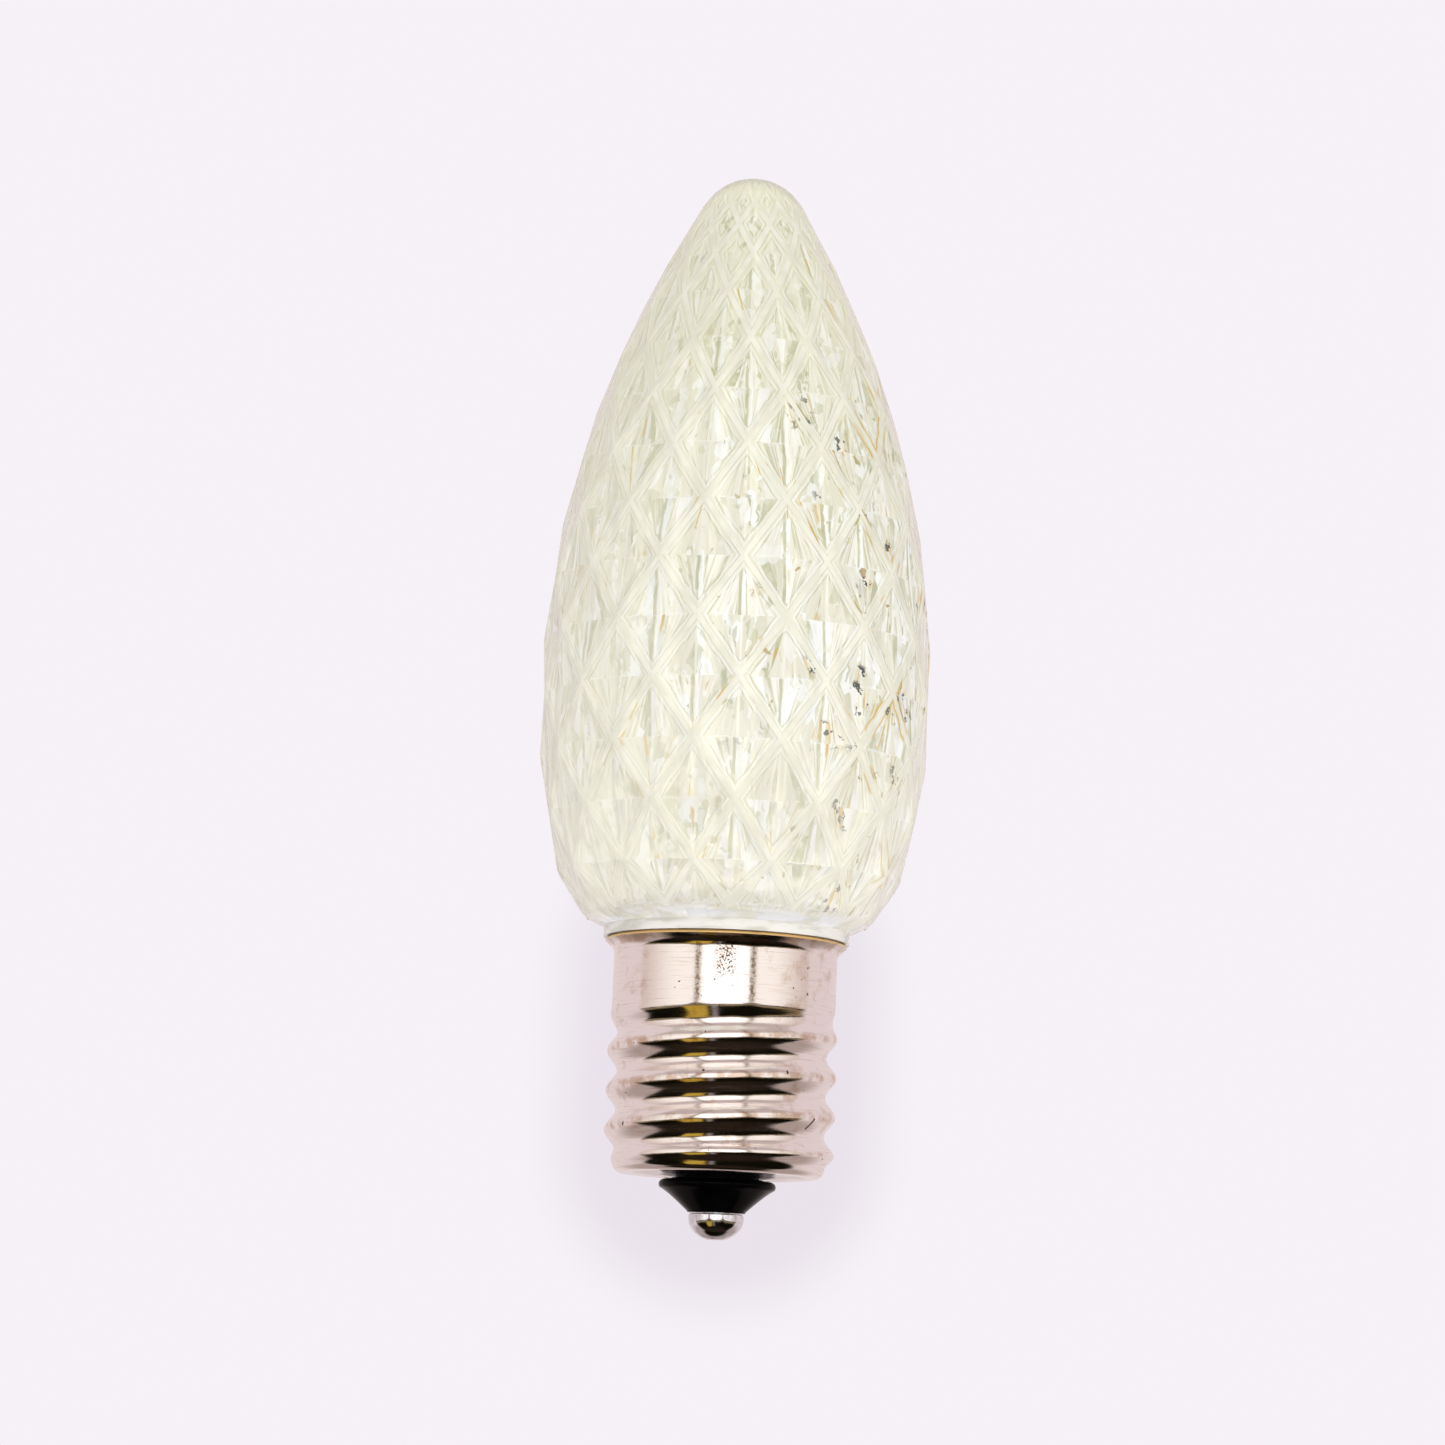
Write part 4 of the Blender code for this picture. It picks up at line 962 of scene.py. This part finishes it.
# the bevel drops some points below the first ring, and they go back up to it
for vert in bm.verts:
    if vert.co.z < first and vert.co.xy.length > shoulder[-1][0] + NEAR:
        vert.co.xy = vert.co.xy.normalized() * rings[0][0]
        vert.co.z = first
for face in bm.faces:
    middle = face.calc_center_median()
    if middle.z < RIM_TOP and middle.xy.length > PLUG_RADIUS * 0.99:
        face.material_index = RIM_FINISH
print("faces of the lands:", len(made["faces"]))

# %% [markdown]
# ## Rows for the slivers
# The cut plastic has to know which ring of the lattice a point lies on. Height alone doesn't say
# it, because the rings get closer towards the tip, so each vertex gets a number: 0 at the first
# ring, 1 at the second, and so on. The shader reads it as an attribute, between the vertices too.

# %% Rows
CAP_STEP = 2 * MM
ROUND_EDGE = deg(40)
heights = [ring[1] for ring in rings]


def row_at(height):
    if height <= first:
        return (height - first) / FACET_STEP
    for i, (a, b) in enumerate(zip(heights, heights[1:])):
        if height <= b:
            return i + (height - a) / (b - a)
    return len(heights) - 1 + (height - last) / CAP_STEP


layer = bm.verts.layers.float.new("row")
for vert in bm.verts:
    vert[layer] = row_at(vert.co.z)
print("row at the tip:", round(row_at(TIP), 2))

# %% Sharp edges
bmesh.ops.recalc_face_normals(bm, faces=bm.faces)
for edge in bm.edges:
    kinds = {face.material_index for face in edge.link_faces}
    round_faces = all(face.smooth for face in edge.link_faces)
    edge.smooth = len(kinds) == 1 and round_faces and edge.calc_face_angle(0) < ROUND_EDGE
print("sharp edges:", sum(not edge.smooth for edge in bm.edges))

# %% [markdown]
# ## The lens's inside
# Inside, the lens has an even wall and shallow flutes that scatter the light of the chips. The
# inner profile is the outline moved in by the wall. It is spun with several columns to a flute,
# and a cosine wave round it moves the vertices further in. Bridging the two open loops at the
# plug's foot then closes the lens into one watertight body.

# %% Inner profile
LENS_WALL = 1.6 * MM
INNER_ROWS = 48


def inner_profile():
    """The outline moved in by the wall, with its rows closer at both ends."""
    inner = []
    for a, b in zip(outline, outline[1:]):
        across = Vector((b[1] - a[1], a[0] - b[0])).normalized() * LENS_WALL
        inner.append(((a[0] + b[0]) / 2 - across.x, (a[1] + b[1]) / 2 - across.y))
    inner = [point for point in inner if point[0] > NEAR]
    inner_lengths = lengths_along(inner)
    shares = [0.5 - 0.5 * math.cos(math.pi * i / INNER_ROWS) for i in range(INNER_ROWS + 1)]
    return [point_along(inner, inner_lengths, inner_lengths[-1] * share) for share in shares]


rows = inner_profile()
neck_top = rows[0][1] - (rows[0][0] - BORE_RADIUS) / 2
inner_tip = rows[-1][1] + rows[-1][0] / 4
print("plastic at the tip, mm:", round((TIP - inner_tip) / MM, 2))

# %% Fluted hollow
FLUTES = 28
COLUMNS_PER_FLUTE = 8
FLUTE_DEPTH = 0.3 * MM


def fade(value, low, high):
    """0 at low, 1 at high and smooth between them."""
    t = min(max((value - low) / (high - low), 0), 1)
    return t * t * (3 - 2 * t)


def flute(vert):
    """Moves a point of the hollow towards the axis, by its place on the wave of the flutes."""
    girth = vert.co.xy.length
    angle = math.atan2(vert.co.y, vert.co.x) - FIRST_COLUMN
    wave = 0.5 + 0.5 * math.cos(FLUTES * angle)
    depth = FLUTE_DEPTH * fade(vert.co.z, neck_top, WIDEST) * min(1, girth / BORE_RADIUS)
    vert.co.xy *= (girth - depth * wave) / girth


inside = bmesh.new()
hollow = [(BORE_RADIUS, PLUG_FOOT), (BORE_RADIUS, neck_top), *rows, (0, inner_tip)]
spun(inside, hollow, FLUTES * COLUMNS_PER_FLUTE, FIRST_COLUMN)
for vert in inside.verts:
    if vert.co.xy.length > MM:
        flute(vert)
for face in inside.faces:
    face.smooth = True
    face.material_index = HOLLOW_FINISH
print("faces of the hollow:", len(inside.faces))


# %% New pieces
def new_piece(name, bm, materials, node):
    """The bmesh as a piece that rides on the bulb and stands for a CAD node."""
    mesh = bpy.data.meshes.new(name)
    bm.to_mesh(mesh)
    bm.free()
    for material in materials:
        mesh.materials.append(material)
    piece = bpy.data.objects.new(name, mesh)
    scene.collection.objects.link(piece)
    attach(piece, "root")
    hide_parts(node)
    print(name, len(mesh.polygons), "faces")
    return piece


# %% Join the lens
FIT = 0.999
inside_mesh = bpy.data.meshes.new("lens_inside")
inside.to_mesh(inside_mesh)
inside.free()
bm.from_mesh(inside_mesh)
bpy.data.meshes.remove(inside_mesh)
loose = [edge for edge in bm.edges if edge.is_boundary]
print("open edges at the plug's foot:", len(loose))
for face in bmesh.ops.bridge_loops(bm, edges=loose)["faces"]:
    face.material_index = HOLLOW_FINISH
# a thousandth narrower, so that rounding never takes the lens past its CAD box
bmesh.ops.scale(bm, verts=bm.verts, vec=(FIT, FIT, 1))
bmesh.ops.recalc_face_normals(bm, faces=bm.faces)
lens_finishes = [cut_plastic, land_plastic, clear_plastic, rim_plastic]
new_piece("faceted_lens", bm, lens_finishes, "lens")

# %% [markdown]
# ## Nickel
# The shell is drawn from thin sheet and nickel plated. It is bright, with fine marks round it
# from polishing, warm brown stains where the plating is worn or has been handled, and a few dark
# specks. The marks are a noise stretched along the way round, and the stains are patches.

# %% Plating
NICKEL = (0.92, 0.86, 0.84, 1)
STAIN = (0.60, 0.42, 0.31, 1)
CREST_WEAR = (8.05 * MM, 8.25 * MM)

nickel, n, shader = principled("nickel", Metallic=1.0)
place = n.place()
px, py, pz = n.apart(place)
around = n.math("ARCTAN2", py, px)
marks = n.noise(n.point(n.times(around, 1.2), 0.0, n.times(pz, 3800.0)), 2.0, 4.0, 0.65)
stains = n.times(n.step(n.noise(place, 420.0, 5.0, 0.65), 0.54, 0.70), 0.55)
girth = n.hypotenuse(px, py)
worn = n.times(n.step(girth, *CREST_WEAR), n.step(n.noise(place, 900.0, 3.0), 0.42, 0.60), 0.75)
plating = Coats(n, NICKEL)
plating.lay(STAIN, n.step(marks, 0.52, 0.72), 0.45)
plating.lay(STAIN, n.math("MAXIMUM", stains, worn))
n.tell("plating")

# %% [markdown]
# ## Marks of use, and painted reflections
# The collar has a group of pits in front, faint flecks on either side of it, a short scratch on
# the thread and stray dark specks. The flecks are painted reflections: mottled dark lines where the
# collar mirrors the posts between the windows. Each is a small hill on the angle and the height,
# broken up by a fine noise. Their heights are measured down from the top of the lip.

# %% Pits, specks, scratch and painted post reflections
PIT = (0.10, 0.07, 0.06, 1)
POST_REFLECTION = (0.28, 0.18, 0.08, 1)
FRONT = deg(-90)
PITS_BELOW_LIP = 1.8 * MM
POST_REFLECTION_BELOW_LIP = 2.9 * MM
POST_REFLECTION_ASIDE = deg(14)
SCRATCH_TURN = deg(-37.2)
SCRATCH_BELOW_LIP = 13.25 * MM
SCRATCH_RADIUS = 8 * MM
SCRATCH_WIDTH = (0.08 * MM, 0.03 * MM)
SCRATCH_LENGTH = (0.42 * MM, 0.08 * MM)
SLANT = (0.87, 0.5)
LIP_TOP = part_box("screw_shell")[1].z

front = n.hill(around, FRONT, deg(2.5), deg(5))
pitted = n.step(n.noise(place, 6500.0), 0.53, 0.58)
pits = n.times(pitted, front, n.hill(pz, LIP_TOP - PITS_BELOW_LIP, 0.8 * MM, 1.2 * MM))
specks = n.step(n.noise(place, 2300.0, 1.0), 0.765, 0.785)
along = n.times(n.minus(around, SCRATCH_TURN), SCRATCH_RADIUS)
above = n.minus(pz, LIP_TOP - SCRATCH_BELOW_LIP)
aslant = n.minus(n.times(along, SLANT[0]), n.times(above, SLANT[1]))
lengthwise = n.plus(n.times(along, SLANT[1]), n.times(above, SLANT[0]))
scratch = n.times(n.hill(aslant, 0, *SCRATCH_WIDTH), n.hill(lengthwise, 0, *SCRATCH_LENGTH))
beside = n.hill(n.absolute(n.minus(around, FRONT)), POST_REFLECTION_ASIDE, deg(0.6), deg(1.6))
on_collar = n.hill(pz, LIP_TOP - POST_REFLECTION_BELOW_LIP, 1.9 * MM, 0.3 * MM)
# painted reflection: mottled dark lines where the collar mirrors the posts between the windows
plating.lay(POST_REFLECTION, beside, on_collar, n.step(n.noise(place, 5200.0, 3.0), 0.47, 0.56), 0.7)
plating.lay(PIT, n.math("MAXIMUM", n.math("MAXIMUM", pits, specks), scratch))
print("scratch at, mm:", round((LIP_TOP - SCRATCH_BELOW_LIP) / MM, 1))

# %% [markdown]
# ## The lip's edge
# Where the flare turns up to the lens it mirrors the dark gap below the rim, and the cut edge of
# the sheet has no plating, so bare brass shows as a thin gold line. Two narrow bands of colour, tied
# to the lip's top, give both: a painted dark reflection of the gap, and the gold of the bare edge,
# which is less metallic and so stays gold.

# %% Lip
LIP_DARK_REFLECTION = (0.30, 0.24, 0.10, 1)
BARE_EDGE = (0.60, 0.38, 0.14, 1)

# painted reflection: a dark band under the lip's top, where the flare mirrors the gap below the rim
dark_reflection_foot = n.step(pz, LIP_TOP - 0.75 * MM, LIP_TOP - 0.4 * MM)
dark_reflection_top = n.step(pz, LIP_TOP - 0.02 * MM, LIP_TOP - 0.08 * MM)
plating.lay(LIP_DARK_REFLECTION, dark_reflection_foot, dark_reflection_top, 0.35)
bare = n.step(pz, LIP_TOP - 0.34 * MM, LIP_TOP - 0.30 * MM)
plating.lay(BARE_EDGE, bare)
n.put(shader.inputs["Metallic"], n.step(bare, 0.0, 1.0, 1.0, 0.35))
n.put(shader.inputs["Base Color"], plating.colour)
n.put(shader.inputs["Roughness"], n.step(marks, 0.3, 0.8, 0.05, 0.22))
n.tell("lip")

# %% Relief of the marks and dents
MARK_HEIGHT = 0.02 * MM
DENT_HEIGHT = 0.1 * MM
bump = n.add("Bump", {"Strength": 0.25, "Distance": MARK_HEIGHT, "Height": marks}).outputs[0]
dents = {"Strength": 0.12, "Distance": DENT_HEIGHT, "Height": n.noise(place, 260.0), "Normal": bump}
n.put(shader.inputs["Normal"], n.add("Bump", dents).outputs[0])
print("nickel nodes:", len(nickel.node_tree.nodes))

# %% [markdown]
# ## The screw shell
# The real shell is a drawn cup whose thread is rolled into it, so the sheet waves in and out with
# an even wall. That is easier to make than a cut thread: a plain cup is spun with many rows, each
# vertex of the threaded part is moved to the radius that the helix has at its height and angle,
# and a Solidify modifier then gives the sheet its wall. Fades at both ends run the thread out.

# %% Shell sizes
SHELL_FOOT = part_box("screw_shell")[0].z
SHELL_WALL = 0.3 * MM
SHELL_FOOT_RADIUS = 7.6 * MM
FOOT_ROUND = 0.7 * MM
END_RISE = 0.25 * MM
HOLE_RADIUS = 3.3 * MM
PITCH = 2.822 * MM
CREST = 8.25 * MM
ROOT = 7.5 * MM
FIRST_CREST = SHELL_FOOT + 1.85 * MM
RUN_IN = 1.2 * MM
RUN_OUT = 2.8 * MM
THREAD_TOP = SHELL_FOOT + 12.4 * MM
COLLAR = 8.03 * MM
COLLAR_FOOT = THREAD_TOP + 0.35 * MM
LIP_FOOT = THREAD_TOP + 3.85 * MM
LIP_RADIUS = 8.7 * MM
LIP_HEIGHT = 0.6 * MM
LIP_ROUND = 0.35 * MM
LIP_START = LIP_FOOT - 0.3 * MM
LIP_BEND = LIP_FOOT + 0.05 * MM
print("turns of the thread:", round((THREAD_TOP - SHELL_FOOT) / PITCH, 1))


# %% Thread
def thread_radius(height, angle):
    """The radius of the sheet's outside at a height and an angle."""
    turns = (height - FIRST_CREST) / PITCH - angle / math.tau
    dip = 0.5 - 0.5 * math.cos(math.tau * turns)
    thread = CREST + (ROOT - CREST) * dip
    foot_top = SHELL_FOOT + FOOT_ROUND
    foot_share = 1 - fade(height, foot_top, foot_top + RUN_IN)
    collar_share = fade(height, THREAD_TOP - RUN_OUT, COLLAR_FOOT)
    radius = thread + (SHELL_FOOT_RADIUS - thread) * foot_share
    return radius + (COLLAR - radius) * collar_share


# %% Shell profile
ROWS_PER_PITCH = 28
FOOT_STEPS = 8
LIP_STEPS = 12

foot_centre = (SHELL_FOOT_RADIUS - FOOT_ROUND, SHELL_FOOT + END_RISE + FOOT_ROUND)
foot = arc(foot_centre, (FOOT_ROUND, FOOT_ROUND), -90, 0, FOOT_STEPS)
thread_foot = foot[-1][1]
threaded = COLLAR_FOOT - thread_foot
thread_rows = round(threaded / PITCH * ROWS_PER_PITCH)
thread = []
for row in range(1, thread_rows + 1):
    thread.append((SHELL_FOOT_RADIUS, thread_foot + threaded * row / thread_rows))
lip = bezier(
    (COLLAR, LIP_START), (COLLAR, LIP_BEND), (COLLAR + LIP_ROUND, LIP_FOOT + LIP_ROUND),
    (LIP_RADIUS, LIP_FOOT + LIP_HEIGHT), LIP_STEPS,
)
# one more ring close to the lip's edge keeps the smooth shading from bending there
edge_support = tuple(0.05 * a + 0.95 * b for a, b in zip(lip[-2], lip[-1]))
print("rows of the thread:", thread_rows)

# %% Rolled shell
SHELL_SIDES = 160

bm = bmesh.new()
spun(bm, [(HOLE_RADIUS, SHELL_FOOT), *foot, *thread, *lip[:-1], edge_support, lip[-1]], SHELL_SIDES)
for vert in bm.verts:
    if thread_foot - HAIR < vert.co.z < COLLAR_FOOT + HAIR:
        angle = math.atan2(vert.co.y, vert.co.x)
        vert.co.xy = vert.co.xy.normalized() * thread_radius(vert.co.z, angle)
bm.normal_update()
lowest = min(bm.faces, key=lambda face: face.calc_center_median().z)
if lowest.normal.z > 0:
    bmesh.ops.reverse_faces(bm, faces=bm.faces)
for face in bm.faces:
    face.smooth = True
shell = new_piece("threaded_shell", bm, [nickel], "screw_shell")
wall = shell.modifiers.new("wall", "SOLIDIFY")
wall.thickness = SHELL_WALL
wall.offset = -1
wall.use_even_offset = True
print("sheet of the shell, mm:", round(wall.thickness / MM, 2))


# %% [markdown]
# ## Mottled finishes
# Few surfaces are one colour all over. A soft cloudy noise that moves colour, gloss and height
# together between two values makes pressed plastic, tinned metal or a board look handled, and
# one helper serves them all. The insulator is pressed black plastic with a deep gloss. The
# contact is tinned brass, bright and softly mottled.

# %% Black plastic and contact metal
MOTTLE_HEIGHT = 0.03 * MM


def mottled(name, low, high, scale, roughness, metallic=0.0, relief=0.1, **values):
    """A finish whose colour, gloss and height wander between two values in a cloudy pattern."""
    material, n, shader = principled(name, Metallic=metallic, **values)
    cloud = n.noise(n.place(), scale, 4.0, 0.6)
    n.put(shader.inputs["Base Color"], n.mix(n.step(cloud, 0.35, 0.65), low, high))
    n.put(shader.inputs["Roughness"], n.step(cloud, 0.35, 0.65, *roughness))
    bump = n.add("Bump", {"Strength": relief, "Distance": MOTTLE_HEIGHT, "Height": cloud})
    n.put(shader.inputs["Normal"], bump.outputs[0])
    return material


black_plastic = mottled(
    "black_plastic", (0.0004, 0.0004, 0.0004, 1), (0.0012, 0.001, 0.0012, 1), 700.0, (0.05, 0.14),
    relief=0.3, Specular_IOR_Level=0.04,
)
contact_metal = mottled(
    "contact_metal", (0.66, 0.65, 0.70, 1), (0.92, 0.93, 0.98, 1), 1500.0, (0.06, 0.18), metallic=1.0,
    relief=0.2,
)
print("base finishes:", black_plastic.name, "and", contact_metal.name)

# %% [markdown]
# ## The insulator and the contact
# Both are turned shapes, so each is a profile spun round the axis. The insulator is a hollow cone
# with a round edge, and its neck goes up through the shell's end to a head that holds it. The
# contact is a shallow dome with a small flat, and its hollow shank stands in the insulator.

# %% Small turned pieces
ROUND_SIDES = 96
SMALL_EDGE = 0.1 * MM
SHARP = deg(35)


def turned_piece(name, profile, material, node):
    """A profile spun round the axis, smooth but for its sharp edges, in place of a CAD node."""
    bm = bmesh.new()
    spun(bm, profile, ROUND_SIDES)
    bmesh.ops.recalc_face_normals(bm, faces=bm.faces)
    for face in bm.faces:
        face.smooth = True
    for edge in bm.edges:
        edge.smooth = edge.calc_face_angle(0) < SHARP
    return new_piece(name, bm, [material], node)


# %% Insulator
CONE_FOOT, CONE_TOP = (corner.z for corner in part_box("base_insulator"))
CONE_SEAT = CONE_FOOT + 2.3 * MM
CONE_RADIUS = 4.2 * MM
CONE_EDGE = 0.35 * MM
CONE_TIP_RADIUS = 2.1 * MM
NECK_RADIUS = 3.0 * MM
HEAD_RADIUS = 3.9 * MM
HEAD_FOOT = CONE_TOP - 0.9 * MM
SHANK_HOLE_RADIUS = 0.95 * MM
UPPER_HANDLE = (3.5 * MM, CONE_FOOT + 1.4 * MM)
LOWER_HANDLE = (2.6 * MM, CONE_FOOT + 0.55 * MM)

edge_centre = (CONE_RADIUS - CONE_EDGE, CONE_SEAT - CONE_EDGE)
cone_edge = arc(edge_centre, (CONE_EDGE, CONE_EDGE), 90, -40, 10)
cone_side = bezier(
    cone_edge[-1], UPPER_HANDLE, LOWER_HANDLE, (CONE_TIP_RADIUS, CONE_FOOT + SMALL_EDGE), 10,
)
tip_centre = (CONE_TIP_RADIUS - SMALL_EDGE, CONE_FOOT + SMALL_EDGE)
cone_tip = arc(tip_centre, (SMALL_EDGE, SMALL_EDGE), 0, -90, 4)
cone = [
    (SHANK_HOLE_RADIUS, CONE_TOP), (HEAD_RADIUS - SMALL_EDGE, CONE_TOP),
    (HEAD_RADIUS, CONE_TOP - SMALL_EDGE), (HEAD_RADIUS, HEAD_FOOT), (NECK_RADIUS, HEAD_FOOT),
    (NECK_RADIUS, CONE_SEAT), *cone_edge, *cone_side[1:], *cone_tip[1:],
    (SHANK_HOLE_RADIUS, CONE_FOOT), (SHANK_HOLE_RADIUS, CONE_TOP),
]
turned_piece("insulator_cone", cone, black_plastic, "base_insulator")

# %% Contact
SHANK_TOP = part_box("centre_contact")[1].z
SHANK_RADIUS = 0.85 * MM
SHANK_BORE_RADIUS = 0.5 * MM
SHANK_BORE_FOOT = SHANK_TOP - 2.2 * MM
CONTACT_RADIUS = 1.98 * MM
CONTACT_HEIGHT = 1.8 * MM
DOME_HEIGHT = 1.5 * MM
FLAT_RADIUS = 0.6 * MM

flat_angle = math.acos(FLAT_RADIUS / CONTACT_RADIUS)
dome_radii = (CONTACT_RADIUS, DOME_HEIGHT / math.sin(flat_angle))
dome = arc((0, DOME_HEIGHT), dome_radii, 0, -math.degrees(flat_angle), 24)
contact = [
    (0, SHANK_BORE_FOOT), (SHANK_BORE_RADIUS, SHANK_BORE_FOOT), (SHANK_BORE_RADIUS, SHANK_TOP),
    (SHANK_RADIUS, SHANK_TOP), (SHANK_RADIUS, CONTACT_HEIGHT),
    (CONTACT_RADIUS - 0.8 * SMALL_EDGE, CONTACT_HEIGHT),
    (CONTACT_RADIUS - 0.2 * SMALL_EDGE, CONTACT_HEIGHT - 0.4 * SMALL_EDGE),
    (CONTACT_RADIUS, CONTACT_HEIGHT - SMALL_EDGE), *dome, (0, 0),
]
turned_piece("contact_cap", contact, contact_metal, "centre_contact")

# %% [markdown]
# ## The light and its driver
# These sit inside the lens's plug and the shell. They show faintly at most, but each has the
# finish of the real thing: a white board, cream LED bodies with amber phosphor, black moulded
# parts, a blue resistor and tinned leads. Their CAD meshes are fine enough, so they only get a
# finish, which is chosen by the material slot that the record gives each node.

# %% Finishes of the inner pieces
FINISHES = {
    "board": ((0.78, 0.79, 0.74, 1), (0.88, 0.88, 0.84, 1), 900.0, (0.3, 0.5)),
    "chip_body": ((0.84, 0.82, 0.76, 1), (0.92, 0.91, 0.87, 1), 1600.0, (0.4, 0.6)),
    "phosphor": ((0.85, 0.50, 0.05, 1), (0.97, 0.68, 0.12, 1), 3000.0, (0.25, 0.45)),
    "component_black": ((0.02, 0.02, 0.02, 1), (0.045, 0.043, 0.042, 1), 2500.0, (0.35, 0.6)),
    "resistor_blue": ((0.16, 0.36, 0.46, 1), (0.27, 0.48, 0.58, 1), 1200.0, (0.2, 0.4)),
    "tinned_wire": ((0.58, 0.58, 0.60, 1), (0.80, 0.80, 0.82, 1), 2000.0, (0.15, 0.35), 1.0),
    "wire_insulation": ((0.72, 0.71, 0.68, 1), (0.84, 0.83, 0.80, 1), 1500.0, (0.45, 0.65)),
}
finishes = {slot: mottled(slot, *values) for slot, values in FINISHES.items()}


# %% Inner pieces
def dress(node, material):
    mesh = frame["nodes"][node].data
    mesh.materials.clear()
    mesh.materials.append(material)


inner = [part for part in frame["record"]["subparts"] if part["material_slot"] in finishes]
for part in inner:
    dress(part["node"], finishes[part["material_slot"]])
print("inner pieces:", len(inner), "in", len(finishes), "finishes")
